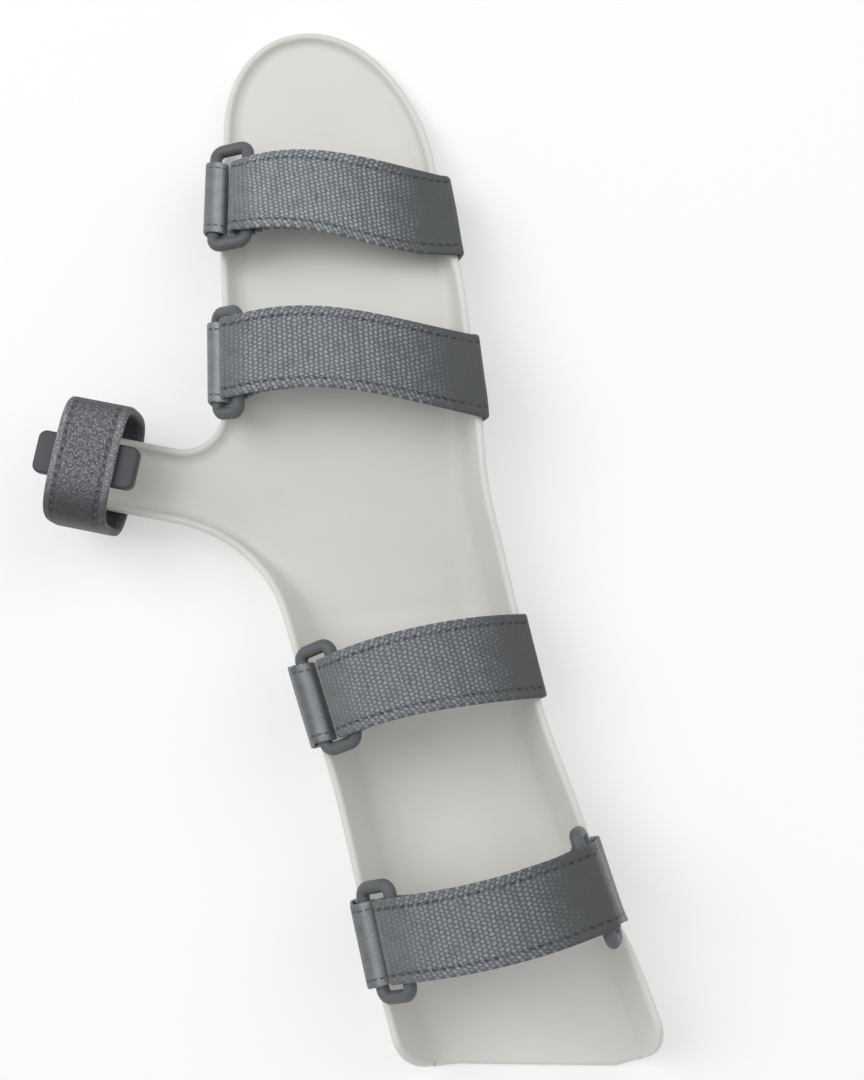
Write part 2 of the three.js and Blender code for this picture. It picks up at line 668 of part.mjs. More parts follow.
// The folded-back end runs under the strap, closing in from the fold to one thickness below
const RETURN_STEPS = 4;
function returnRun(main) {
  const lengths = [0];
  for (let i = 1; i < main.length; i += 1) lengths.push(lengths[i - 1] + main[i].distanceTo(main[i - 1]));
  const points = [];
  for (let k = 1; k <= RETURN_STEPS; k += 1) {
    const goal = (RETURN_LENGTH * k) / RETURN_STEPS;
    let i = 1;
    while (lengths[i] < goal) i += 1;
    const place = main[i - 1].clone().lerp(main[i], (goal - lengths[i - 1]) / (lengths[i] - lengths[i - 1]));
    const ahead = main[i].clone().sub(main[i - 1]).normalize();
    const below = ahead.clone().multiplyScalar(ahead.z).sub(UP).normalize();
    const closed = THREE.MathUtils.smoothstep(goal, RETURN_LENGTH * 0.06, RETURN_LENGTH * 0.55);
    const spacing = THREE.MathUtils.lerp(2 * EYE_HIGH, STRAP_THICK + GAP, closed);
    points.push(place.addScaledVector(below, spacing));
  }
  return points;
}

const RIM_STEPS = 3;
const ARCH_STEPS = 12;

// Down the shell's outside from the rim, held off it: along the trough wall, or on under the pan's floor
const TAIL_STEPS = 3;
function tailRun(strap, station, reach, off) {
  const stops = [];
  if (strap.part === 'forearm') {
    for (let i = 0; i <= TAIL_STEPS; i += 1) stops.push(station.length - reach * i / TAIL_STEPS);
  } else {
    stops.push(station.length);
    for (let w = ARC_PARTS; w >= 0; w -= 1) stops.push(station.arc * w / ARC_PARTS);
    stops.push(-UNDER_TAIL);
  }
  return stops.map((s) => skinPoint(station, s, off));
}

// Round the rim from the leaving angle to the wall, then down the outside of the shell
function rimRun(strap, station, leave, standOff) {
  const { angle } = station.profile.at(station.length);
  const rim = skinPoint(station, station.length, 0);
  const out = lift(station.out);
  const normal = out.clone().multiplyScalar(Math.sin(angle)).addScaledVector(UP, -Math.cos(angle));
  const along = out.clone().multiplyScalar(Math.cos(angle)).addScaledVector(UP, Math.sin(angle));
  const centre = rim.addScaledVector(normal, -SHELL_WALL / 2);
  const off = GAP + STRAP_THICK / 2 + standOff;
  const radius = SHELL_WALL / 2 + off;
  const start = Math.PI - leave - angle;
  const points = [];
  for (let i = 0; i < RIM_STEPS; i += 1) {
    const turn = start * (1 - i / RIM_STEPS);
    points.push(centre.clone().addScaledVector(normal, radius * Math.cos(turn))
      .addScaledVector(along, radius * Math.sin(turn)));
  }
  return [...points, ...tailRun(strap, station, STRAP_TAIL, off)];
}

// One strap: folded round its ring, arched over the limb, and down over the far rim or round a second ring
function makeStrap(strap) {
  const near = ringFrame(strap, 'left');
  const far = strap.rings.right ? ringFrame(strap, 'right') : null;
  const paths = near.rows.map((row, i) => {
    const across = lift(row.across);
    const bar = barPoint(near, near.inner, row);
    const farTop = far ? barPoint(far, far.inner, row) : skinPoint(row.right, row.right.length, 0);
    const farLift = far ? EYE_HIGH : SHELL_WALL / 2 + STRAP_THICK;
    const chord = farTop.clone().sub(bar).length();
    const handle = 0.4 * chord;
    const baseHeight = (bar.z + EYE_HIGH + farTop.z + farLift) / 2;
    const rise = strap.crown * WALL_HEIGHT - STRAP_THICK / 2 - baseHeight;
    const leave = Math.asin(Math.min(0.95, rise / (0.75 * handle)));
    const ahead = across.clone().multiplyScalar(Math.cos(leave)).addScaledVector(UP, Math.sin(leave));
    const above = across.clone().multiplyScalar(-Math.sin(leave)).addScaledVector(UP, Math.cos(leave));
    const eye = strapEye(bar, ahead, above);
    let tail;
    let back;
    if (far) {
      back = across.clone().multiplyScalar(-Math.cos(leave)).addScaledVector(UP, Math.sin(leave));
      const farAbove = across.clone().multiplyScalar(Math.sin(leave)).addScaledVector(UP, Math.cos(leave));
      tail = strapEye(farTop, back, farAbove);
    } else {
      tail = rimRun(strap, row.right, leave, strap.flare * STRAP_WIDTH * i / STRAP_ROWS);
      back = lift(row.right.out).multiplyScalar(-Math.cos(leave)).addScaledVector(UP, Math.sin(leave));
    }
    const bow = new THREE.Vector3(-across.y, across.x, 0).multiplyScalar(strap.bow * STRAP_WIDTH / 0.75);
    const first = eye[0].clone().addScaledVector(ahead, handle).add(bow);
    const second = tail[0].clone().addScaledVector(back, handle).add(bow);
    const arch = new THREE.CubicBezierCurve3(eye[0], first, second, tail[0]).getPoints(ARCH_STEPS);
    const nearReturn = returnRun(arch).reverse();
    const farReturn = far ? returnRun([...arch].reverse()) : [];
    return [...nearReturn, ...[...eye].reverse(), ...arch.slice(1, -1), ...tail, ...farReturn];
  });
  const solid = wallSolid(gridSurface(paths), STRAP_THICK / 2, STRAP_THICK / 2);
  addPart(`strap_${strap.name}`, geometryOf(solid), materials.strap);
}

// Closed tube round a closed line of points
function closedTube(centres, radius, sides) {
  const points = [];
  const count = centres.length;
  const third = centres[Math.floor(count / 3)].clone().sub(centres[0]);
  const plane = centres[1].clone().sub(centres[0]).cross(third).normalize();
  for (let i = 0; i < count; i += 1) {
    const travel = centres[(i + 1) % count].clone().sub(centres[(i + count - 1) % count]).normalize();
    const across = travel.clone().cross(plane).normalize();
    for (let k = 0; k < sides; k += 1) {
      const angle = (2 * Math.PI * k) / sides;
      points.push(centres[i].clone().addScaledVector(across, radius * Math.cos(angle))
        .addScaledVector(plane, radius * Math.sin(angle)));
    }
  }
  const faces = [];
  for (let i = 0; i < count; i += 1) {
    for (let k = 0; k < sides; k += 1) {
      const a = i * sides + k;
      const b = i * sides + (k + 1) % sides;
      const c = ((i + 1) % count) * sides + (k + 1) % sides;
      const d = ((i + 1) % count) * sides + k;
      faces.push([a, c, b], [a, d, c]);
    }
  }
  return { points, faces };
}

const RING_SIDES = 8;
const CORNER_STEPS = 4;
function makeRing(strap, side, name) {
  const frame = ringFrame(strap, side);
  const middle = frame.outer.clone().lerp(frame.inner, 0.5);
  const halfLong = (frame.length - BAR) / 2 - RING_CORNER;
  const halfShort = BAR_SPACING / 2 - RING_CORNER;
  const centres = [];
  for (let quarter = 0; quarter < 4; quarter += 1) {
    const longSign = quarter === 0 || quarter === 3 ? 1 : -1;
    const shortSign = quarter < 2 ? 1 : -1;
    for (let i = 0; i <= CORNER_STEPS; i += 1) {
      const angle = (quarter + i / CORNER_STEPS) * (Math.PI / 2);
      centres.push(middle.clone()
        .addScaledVector(frame.long, longSign * halfLong + RING_CORNER * Math.cos(angle))
        .addScaledVector(frame.short, shortSign * halfShort + RING_CORNER * Math.sin(angle)));
    }
  }
  addPart(`ring_${name}`, geometryOf(closedTube(centres, BAR / 2, RING_SIDES)), materials.ring);
}

// Chape: from the wall's outside up round the outer bar and back down between its first run and the wall
const CHAPE_WIDE = 4.4; // half width and half height of its fold's middle line
const CHAPE_HIGH = 3.7;
const CHAPE_STEPS = 9;
function makeChape(strap, side, name) {
  const frame = ringFrame(strap, side);
  const outside = frame.inward.clone().multiplyScalar(-1);
  const inner = GAP + CHAPE_THICK / 2;
  const outer = inner + GAP + CHAPE_THICK;
  const paths = frame.rows.map((row) => {
    const station = row[side];
    const bar = barPoint(frame, frame.outer, row);
    const centre = bar.addScaledVector(outside, strap.rings[side].slack * BAR);
    const fold = [];
    for (let i = 0; i <= CHAPE_STEPS; i += 1) {
      const angle = THREE.MathUtils.lerp(-0.12 * Math.PI, 1.5 * Math.PI, i / CHAPE_STEPS);
      fold.push(centre.clone().addScaledVector(outside, CHAPE_WIDE * Math.cos(angle))
        .addScaledVector(UP, CHAPE_HIGH * Math.sin(angle)));
    }
    const { angle } = station.profile.at(station.length);
    const out = lift(station.out);
    const normal = out.clone().multiplyScalar(Math.sin(angle)).addScaledVector(UP, -Math.cos(angle));
    const along = out.clone().multiplyScalar(Math.cos(angle)).addScaledVector(UP, Math.sin(angle));
    const rimCentre = skinPoint(station, station.length, 0).addScaledVector(normal, -SHELL_WALL / 2);
    const roundRim = (off, turns) => turns.map((turn) => rimCentre.clone()
      .addScaledVector(normal, (SHELL_WALL / 2 + off) * Math.cos(turn * DEG))
      .addScaledVector(along, (SHELL_WALL / 2 + off) * Math.sin(turn * DEG)));
    return [
      ...tailRun(strap, station, CHAPE_TAIL, outer).reverse(), ...roundRim(outer, [20, 40]), ...fold,
      ...roundRim(inner, [50, 20]), ...tailRun(strap, station, CHAPE_TAIL, inner),
    ];
  });
  const ordered = side === 'left' ? paths : [...paths].reverse();
  const solid = wallSolid(gridSurface(ordered), CHAPE_THICK / 2, CHAPE_THICK / 2);
  addPart(`chape_${name}`, geometryOf(solid), materials.chape);
}

// Rounded oval of the thumb strap's section: a superellipse, flat enough for the tongue to lie in
const OVAL_POWER = 3.6;
function ovalPoints(halfWide, halfHigh, count) {
  const points = [];
  for (let i = 0; i < count; i += 1) {
    const angle = (2 * Math.PI * i) / count;
    const c = Math.cos(angle);
    const s = Math.sin(angle);
    points.push(new THREE.Vector2(
      halfWide * Math.sign(c) * Math.abs(c) ** (2 / OVAL_POWER),
      halfHigh * Math.sign(s) * Math.abs(s) ** (2 / OVAL_POWER),
    ));
  }
  return points;
}

// Turns a shape drawn across the thumb (x to the fingers, y up) so that it is extruded along the thumb
function placeOnThumb(geometry, height) {
  const across = lift(tongueAcross);
  const basis = new THREE.Matrix4().makeBasis(across, UP, across.clone().cross(UP));
  geometry.applyMatrix4(basis);
  return geometry.translate(loopCentre.x, loopCentre.y, height);
}

const OVAL_DROP = 0.25; // the oval is this much higher under the tongue's floor edges than at its middle
const loopBottom = TONGUE_LEVEL - GAP - OVAL_DROP - LOOP_WALL;
const loopMiddle = loopBottom + LOOP_HEIGHT / 2;

function makeThumbStrap() {
  const count = 48;
  const shape = new THREE.Shape(ovalPoints(LOOP_SPAN / 2, LOOP_HEIGHT / 2, count));
  const inside = ovalPoints(LOOP_SPAN / 2 - LOOP_WALL, LOOP_HEIGHT / 2 - LOOP_WALL, count);
  shape.holes.push(new THREE.Path(inside));
  const geometry = new THREE.ExtrudeGeometry(shape, { depth: LOOP_WIDTH, bevelEnabled: false, steps: 2 });
  geometry.translate(0, 0, -LOOP_WIDTH / 2);
  addPart('thumb_strap', placeOnThumb(geometry, loopMiddle), materials.thumbStrap);
}

function makeThumbPlate() {
  const bevel = 1;
  const w = PLATE_WIDTH / 2 - bevel;
  const l = PLATE_LENGTH / 2 - bevel;
  const shape = new THREE.Shape();
  shape.absarc(l - PLATE_ROUND, w - PLATE_ROUND, PLATE_ROUND, 0, Math.PI / 2);
  shape.absarc(-l + PLATE_ROUND, w - PLATE_ROUND, PLATE_ROUND, Math.PI / 2, Math.PI);
  shape.absarc(-l + PLATE_ROUND, -w + PLATE_ROUND, PLATE_ROUND, Math.PI, 1.5 * Math.PI);
  shape.absarc(l - PLATE_ROUND, -w + PLATE_ROUND, PLATE_ROUND, 1.5 * Math.PI, 2 * Math.PI);
  const geometry = new THREE.ExtrudeGeometry(shape, {
    depth: PLATE_THICK - 2 * bevel,
    curveSegments: 4,
    bevelSize: bevel,
    bevelThickness: bevel,
    bevelSegments: 2,
  });
  const top = loopBottom + LOOP_HEIGHT - LOOP_WALL - GAP - OVAL_DROP;
  geometry.translate(0, 0, bevel);
  geometry.rotateZ(Math.PI - TONGUE_TURN * DEG);
  geometry.translate(loopCentre.x, loopCentre.y, top - PLATE_THICK);
  addPart('thumb_plate', geometry, materials.thumbPlate);
}

makeShell();
for (const strap of STRAPS) {
  makeStrap(strap);
  for (const side of Object.keys(strap.rings)) {
    const name = side === 'left' ? strap.name : `${strap.name}_ulnar`;
    makeRing(strap, side, name);
    makeChape(strap, side, name);
  }
}
makeThumbStrap();
makeThumbPlate();

export default orthosis;
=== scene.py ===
"""Looks of the resting wrist hand orthosis: moulded shell, webbing straps on rings, and the thumb's loop.

Lengths are in millimetres, in the frame of the CAD model, until a mesh is made.
"""
import math

import bpy
import numpy as np
from mathutils import Matrix


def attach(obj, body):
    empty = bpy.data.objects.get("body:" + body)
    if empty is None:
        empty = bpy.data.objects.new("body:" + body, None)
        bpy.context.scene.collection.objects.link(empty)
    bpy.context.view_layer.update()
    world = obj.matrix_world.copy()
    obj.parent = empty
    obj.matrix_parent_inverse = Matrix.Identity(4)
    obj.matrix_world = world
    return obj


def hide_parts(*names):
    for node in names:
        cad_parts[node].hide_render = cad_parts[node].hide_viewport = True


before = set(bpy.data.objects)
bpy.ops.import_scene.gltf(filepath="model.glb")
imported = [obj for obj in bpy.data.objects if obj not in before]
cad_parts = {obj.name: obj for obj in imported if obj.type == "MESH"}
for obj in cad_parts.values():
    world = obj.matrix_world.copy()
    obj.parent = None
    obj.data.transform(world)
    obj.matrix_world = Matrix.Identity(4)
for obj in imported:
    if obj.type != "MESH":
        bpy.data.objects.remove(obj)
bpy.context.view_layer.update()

# Shell sizes
FOREARM_LENGTH = 188
WRIST_Y = 0.4787 * FOREARM_LENGTH
HAND_LENGTH = 220.5
TROUGH_WIDTH = 83
PAN_WIDTH = 100
WALL_HEIGHT = 31
SHELL_WALL = 3
TROUGH_CORNER = 14
LIP_CORNER = 5
WALL_LEAN = 18
END_ROUND = 13
END_HEIGHT = 0.2
ELBOW_TURN = 12
ELBOW_SHIFT = 0.3
THENAR_LINE_TURN = 6
WEB_LINE_TURN = 19
PALM_RISE = 20
HAND_TURN = 10
HAND_SIDE = -6
TIP_SIDE = -0.11

# Thumb sizes
THUMB_REACH = 97.2
THUMB_ALONG = 49
TONGUE_TURN = 28
TONGUE_WIDTH = 29
TONGUE_END_ROUND = 10
TONGUE_LEVEL = 15
WEB_RADIUS = 15
THENAR_RADIUS = 53
LOOP_WIDTH = 23.5
LOOP_SPAN = 47.6
LOOP_HEIGHT = 38
LOOP_WALL = 3
OVAL_POWER = 3.6
OVAL_DROP = 0.25
PLATE_LENGTH = 38
PLATE_WIDTH = 16
PLATE_THICK = 5
PLATE_ROUND = 3

# Strap and ring sizes
STRAP_WIDTH = 30
STRAP_THICK = 1.8
STRAP_TAIL = 20
RETURN_LENGTH = 24
CHAPE_THICK = 1.2
CHAPE_TAIL = 17
UNDER_TAIL = 12
BAR = 4.8
RING_SHORT = 18.2
RING_CORNER = 3.2
BAR_LIFT = 7.2
GAP = 0.3
SQUEEZE = 0.93
EYE_WIDE = 4.9
EYE_HIGH = 4.0
EYE_SHIFT = 1.2
FAR_EYE_WIDE = 4.0
CHAPE_WIDE = 4.4
CHAPE_HIGH = 3.7

HALF_TROUGH = TROUGH_WIDTH / 2
HALF_PAN = PAN_WIDTH / 2
BAR_SPACING = RING_SHORT - BAR
UP = np.array([0.0, 0.0, 1.0])

# Forearm edges: share of the forearm length, then left and right of half the trough width
FOREARM_EDGE = np.array([
    [-0.62, 1.11, 1.19],
    [-0.468, 1.10, 1.164],
    [-0.370, 1.095, 1.125],
    [-0.290, 1.085, 1.065],
    [-0.106, 1.03, 1.045],
    [0.106, 0.99, 0.99],
    [0.229, 1.00, 1.010],
    [0.367, 1.01, 1.046],
    [0.430, 1.02, 1.065],
])
# Hand edges: share of the hand length, then left and right of half the pan width
HAND_EDGE = np.array([
    [0.081, 1.07, 0.975],
    [0.131, 1.05, 0.965],
    [0.181, 1.02, 0.972],
    [0.250, 0.995, 0.980],
    [0.297, 0.973, 0.974],
    [0.390, 0.930, 0.968],
    [0.431, 0.910, 0.968],
    [0.489, 0.888, 0.955],
    [0.540, 0.884, 0.928],
    [0.600, 0.876, 0.900],
    [0.668, 0.850, 0.86],
    [0.798, 0.80, 0.80],
])
# Each side's quarter of the rounded tip: where it begins, and the power of its curve
TIP = {"left": (0.798, 2.15), "right": (0.668, 2)}
# Each side's column in the tables of edges, and its sign across
SIDES = {"left": (1, -1), "right": (2, 1)}
# Shares of the hand length between which the tongue leaves the pan's edge
ROOT_LOW, ROOT_HIGH = 0.27, 0.39
# Wall heights: place along the hand's axis, then left and right as shares of the trough wall
WALLS = np.array([
    [-1.20, 1.00, 1.00],
    [-0.24, 1.00, 1.00],
    [-0.08, 0.77, 0.99],
    [0.05, 0.32, 0.95],
    [0.11, 0.22, 0.90],
    [0.20, 0.18, 0.78],
    [0.27, 0.17, 0.66],
    [0.32, 0.21, 0.58],
    [0.39, 0.30, 0.46],
    [0.48, 0.33, 0.36],
    [0.58, 0.31, 0.31],
    [0.68, 0.29, 0.28],
    [0.76, 0.277, 0.267],
    [0.86, 0.20, 0.20],
    [1.00, 0.17, 0.17],
])
# Underside of the floor: place along the hand's axis, share of the palm's rise
RISE = np.array([
    [-0.08, 0],
    [0.00, 0.13],
    [0.10, 0.42],
    [0.20, 0.74],
    [0.28, 0.93],
    [0.36, 1.00],
    [0.46, 0.95],
    [0.60, 0.66],
    [0.75, 0.28],
    [0.86, 0.04],
    [0.91, 0],
])
STRAPS = [
    {"name": "forearm", "part": "forearm", "along": -0.224, "turn": 2, "width": 1.06, "crown": 2,
     "bow": -0.067, "flare": 0, "ring": 0.387,
     "rings": {"left": (-0.56, 40, 0.1), "right": (-0.73, 80, -0.08)}},
    {"name": "wrist", "part": "forearm", "along": 0.233, "turn": 4.3, "width": 1.04, "crown": 1.774,
     "bow": 0.083, "flare": 0, "ring": 0.327, "rings": {"left": (-0.69, 30, 0.04)}},
    {"name": "hand", "part": "hand", "along": 0.336, "turn": 20.5, "width": 1.05, "crown": 1.71,
     "bow": 0.217, "flare": 0.013, "ring": 0.35, "rings": {"left": (0, 48, -0.12)}},
    {"name": "fingers", "part": "hand", "along": 0.655, "turn": 21.5, "width": 1.08, "crown": 1.194,
     "bow": 0.167, "flare": 0.08, "ring": 0.483, "rings": {"left": (0.15, 18, -0.12)}},
]


def unit(v):
    return v / np.linalg.norm(v, axis=-1, keepdims=True)


def lerp(a, b, t):
    return a + (b - a) * t


def run_length(points):
    """Length along a line of points up to each of them."""
    return np.concatenate([[0], np.cumsum(np.linalg.norm(np.diff(points, axis=0), axis=1))])


def smooth_step(x, low, high):
    """3 t squared - 2 t cubed, with t the clamped share of the way from low to high."""
    t = np.clip((x - low) / (high - low), 0, 1)
    return t * t * (3 - 2 * t)


def lookup(rows, column, along):
    """Cubic through a table's rows that never overshoots: each inner slope is the harmonic mean of the
    two neighbouring secants, and 0 where they differ in sign."""
    x, y = rows[:, 0], rows[:, column]
    secant = np.diff(y) / np.diff(x)
    product = secant[:-1] * secant[1:]
    total = secant[:-1] + secant[1:]
    inner = np.where(product > 0, 2 * product / np.where(total == 0, 1, total), 0)
    slope = np.concatenate([secant[:1], inner, secant[-1:]])
    place = np.clip(along, x[0], x[-1])
    i = np.clip(np.searchsorted(x, place) - 1, 0, len(x) - 2)
    step = x[i + 1] - x[i]
    t = (place - x[i]) / step
    rest = 1 - t
    return (y[i] * (1 + 2 * t) * rest ** 2 + y[i + 1] * t ** 2 * (3 - 2 * t)
            + step * (slope[i] * t * rest ** 2 - slope[i + 1] * t ** 2 * rest))


HAND_COS = math.cos(math.radians(HAND_TURN))
HAND_SIN = math.sin(math.radians(HAND_TURN))
HAND_ACROSS = np.array([HAND_COS, -HAND_SIN])
HAND_FORWARD = np.array([HAND_SIN, HAND_COS])
WRIST = np.array([HAND_SIDE, WRIST_Y], float)


def hand_point(across, along):
    """Wrist point + across times the hand's sideways axis + along times its forward axis."""
    return WRIST + np.multiply.outer(across, HAND_ACROSS) + np.multiply.outer(along, HAND_FORWARD)


def hand_share(plan):
    """Place along the hand's axis over the hand's length, or over the forearm's before the wrist."""
    along = (plan - WRIST) @ HAND_FORWARD
    return np.where(along > 0, along / HAND_LENGTH, along / FOREARM_LENGTH)


def rise_at(plan):
    """Height of the shell's underside: the palm's rise from the table, eased to the tongue's level
    beside the palm."""
    across = (plan - WRIST) @ HAND_ACROSS
    palm = PALM_RISE * lookup(RISE, 1, hand_share(plan))
    return lerp(palm, TONGUE_LEVEL, smooth_step(-across, HALF_PAN * 0.9, HALF_PAN * 1.45))


# Walls: an arc off the floor, then a straight leaning wall

WALL_TOP = math.radians(90 - WALL_LEAN)


def wall_radius(height):
    return lerp(LIP_CORNER, TROUGH_CORNER, height / WALL_HEIGHT)


def wall_length(height):
    """Arc length, radius times top angle, + the straight part's height over the sine of its slope."""
    radius = wall_radius(height)
    return radius * WALL_TOP + (height - radius * (1 - math.cos(WALL_TOP))) / math.sin(WALL_TOP)


def wall_length_to(height, level):
    """Length up the wall at which it is level high: on the arc radius times arccos(1 - level/radius)."""
    radius = wall_radius(height)
    on_arc = radius * np.arccos(np.clip(1 - level / radius, -1, 1))
    straight = wall_length(height) - (height - level) / math.sin(WALL_TOP)
    return np.where(level < radius * (1 - math.cos(WALL_TOP)), on_arc, straight)


class Edge:
    """Places on the shell's edge in plan, each with the wall that stands there. Edges run up the thumb
    side, round the tip and down the other side, so outward is to the left of travel."""

    def __init__(self, points, travel, side):
        travel = unit(travel)
        self.points = points
        self.out = np.stack([-travel[:, 1], travel[:, 0]], -1)
        self.side = np.broadcast_to(np.asarray(side), len(points))
        share = hand_share(points)
        left, right = (WALL_HEIGHT * lookup(WALLS, k, share) for k in (1, 2))
        self.height = np.where(self.side == "left", left, right)
        self.radius = wall_radius(self.height)
        self.arc = self.radius * WALL_TOP
        self.length = wall_length(self.height)
        self.floor = points - self.out * self.profile(self.length)[0][:, None]

    def profile(self, s):
        """Outward and upward travel at length s: radius times sine and 1 - cosine of the angle s/radius,
        then on along the straight wall."""
        radius = self.radius.reshape((-1,) + (1,) * (np.ndim(s) - 1))
        angle = np.clip(s / radius, 0, WALL_TOP)
        rest = s - radius * angle
        out = radius * np.sin(angle) + rest * np.cos(angle)
        up = radius * (1 - np.cos(angle)) + rest * np.sin(angle)
        return out, up, angle

    def skin(self, s, off=0.0):
        """Points at lengths s (a row for each place) up the wall's outside, held off it."""
        out, up, angle = self.profile(s)
        floor, away = self.floor[:, None], self.out[:, None]
        base = floor + away * out[..., None]
        plan = floor + away * (out + off * np.sin(angle))[..., None]
        return np.concatenate([plan, (rise_at(base) + up - off * np.cos(angle))[..., None]], -1)

    def rim(self, off=0.0):
        return self.skin(self.length[:, None], off)[:, 0]

    def axes(self):
        """The wall's outward normal and its upward direction at the rim."""
        out = flat(self.out)
        normal = out * math.sin(WALL_TOP) - UP * math.cos(WALL_TOP)
        along = out * math.cos(WALL_TOP) + UP * math.sin(WALL_TOP)
        return normal, along

    def pick(self, places):
        return Edge(self.points[places], self.travel()[places], self.side[places])

    def travel(self):
        return np.stack([self.out[:, 1], -self.out[:, 0]], -1)


def flat(plan):
    return np.concatenate([plan, np.zeros(plan.shape[:-1] + (1,))], -1)


def join(*edges):
    """One run of places made of several."""
    return Edge(
        np.concatenate([e.points for e in edges]),
        np.concatenate([e.travel() for e in edges]),
        np.concatenate([e.side for e in edges]),
    )


# Edge curves in plan

def forearm_edge(side, low, high, steps=140):
    y = np.linspace(low, high, steps + 1)
    column, sign = SIDES[side]
    return np.stack([sign * HALF_TROUGH * lookup(FOREARM_EDGE, column, y / FOREARM_LENGTH), y], -1)


def hand_edge_point(side, share):
    column, sign = SIDES[side]
    return hand_point(sign * HALF_PAN * lookup(HAND_EDGE, column, share), np.asarray(share) * HAND_LENGTH)


def tip_point(side, angle):
    """Quarter of a superellipse from the side's edge to the tip's peak: sideways goes with the cosine
    and lengthways with the sine of the angle, each to the power 2/p."""
    peak = TIP_SIDE * HALF_PAN
    start, power = TIP[side]
    column, sign = SIDES[side]
    edge = sign * HALF_PAN * lookup(HAND_EDGE, column, start)
    return hand_point(
        peak + (edge - peak) * np.maximum(np.cos(angle), 0) ** (2 / power),
        HAND_LENGTH * (start + (1 - start) * np.sin(angle) ** (2 / power)),
    )


def hand_edge(side, low):
    shares = np.linspace(low, TIP[side][0], 121)
    angles = np.linspace(0, math.pi / 2, 91)[1:-1]
    return np.concatenate([hand_edge_point(side, shares), tip_point(side, angles)])


def meet(a, a_way, b, b_way):
    """Where the line through a meets the line through b, by the cross products of their directions."""
    cross = a_way[0] * b_way[1] - a_way[1] * b_way[0]
    t = ((b[0] - a[0]) * b_way[1] - (b[1] - a[1]) * b_way[0]) / cross
    return a + a_way * t


ARC_STEPS = 48
MID = ARC_STEPS // 2


def corner_arc(before, corner, after, radius):
    """Circle tangent to both sides of a corner: its centre is radius over the sine of the half angle
    from the corner, and it runs from one tangent point to the other the short way."""
    to_before, to_after = unit(before - corner), unit(after - corner)
    half = math.acos(to_before @ to_after) / 2
    centre = corner + unit(to_before + to_after) * radius / math.sin(half)
    first = corner + to_before * radius / math.tan(half) - centre
    last = corner + to_after * radius / math.tan(half) - centre
    begin = math.atan2(first[1], first[0])
    turn = (math.atan2(last[1], last[0]) - begin + math.pi) % (2 * math.pi) - math.pi
    angle = begin + turn * np.linspace(0, 1, ARC_STEPS + 1)
    return centre + radius * np.stack([np.cos(angle), np.sin(angle)], -1)


TONGUE_ANGLE = math.radians(TONGUE_TURN)
loop_centre = hand_point(-THUMB_REACH, THUMB_ALONG)
tongue_out = np.array([-math.cos(TONGUE_ANGLE), math.sin(TONGUE_ANGLE)])
tongue_across = np.array([math.sin(TONGUE_ANGLE), math.cos(TONGUE_ANGLE)])
tongue_end = loop_centre + tongue_out * LOOP_WIDTH / 2
end_low = tongue_end - tongue_across * TONGUE_WIDTH / 2
end_high = tongue_end + tongue_across * TONGUE_WIDTH / 2
pan_low = hand_edge_point("left", ROOT_LOW)
pan_high = hand_edge_point("left", ROOT_HIGH)
web_corner = meet(end_high, tongue_out, pan_low, pan_high - pan_low)
forearm_end = FOREARM_EDGE[-1, 0]
forearm_top = np.array([-HALF_TROUGH * lookup(FOREARM_EDGE, 1, forearm_end), forearm_end * FOREARM_LENGTH])
thenar_corner = meet(end_low, tongue_out, forearm_top, np.array([0.0, 1.0]))
thenar_arc = corner_arc(forearm_top - [0, FOREARM_LENGTH], thenar_corner, end_low, THENAR_RADIUS)
web_arc = corner_arc(end_high, web_corner, pan_high, WEB_RADIUS)
end_low_arc = corner_arc(thenar_corner, end_low, end_high, TONGUE_END_ROUND)
end_high_arc = corner_arc(end_low, end_high, web_corner, TONGUE_END_ROUND)

# The whole thumb side as one run of places, cut up into its parts
elbow_y = FOREARM_EDGE[0, 0] * FOREARM_LENGTH
lower_run = forearm_edge("left", elbow_y, thenar_arc[0, 1] - 1)
upper_run = hand_edge("left", float(hand_share(web_arc[-1])) + 0.01)
left_points = np.concatenate([lower_run, thenar_arc, end_low_arc, end_high_arc, web_arc, upper_run])
left_travel = unit(np.gradient(left_points, axis=0))
THENAR = len(lower_run) + MID
WEB = THENAR + 3 * (ARC_STEPS + 1)
END = ARC_STEPS + 1
right_points = np.concatenate([
    forearm_edge("right", elbow_y, forearm_end * FOREARM_LENGTH), hand_edge("right", HAND_EDGE[0, 0])])
right_travel = -unit(np.gradient(right_points, axis=0))


def part_of(low, high):
    """Points and directions of the thumb side's run between two of its places."""
    return left_points[low:high + 1], left_travel[low:high + 1]


def along_run(run, shares, side="left"):
    """Places at given shares of a run's length, by linear interpolation over its summed lengths."""
    points, travel = run
    length = run_length(points)
    goal = np.asarray(shares) * length[-1]
    def at(values):
        return np.stack([np.interp(goal, length, values[:, k]) for k in (0, 1)], -1)
    return Edge(at(points), at(travel), side)


SQUARE_REACH = 30


def square_end(edge, lines):
    """The edge's first places with their walls turned into the plane of the elbow's cross line, fully at
    the first and not at all from SQUARE_REACH on."""
    turn = np.radians(lines[:, 1])
    ahead = np.stack([np.sin(turn), np.cos(turn)], -1)
    reach = np.linalg.norm(edge.points - edge.points[0], axis=1)
    share = 1 - smooth_step(reach, 0, SQUARE_REACH)[:, None]
    return Edge(edge.points, lerp(edge.travel(), ahead, share), edge.side)


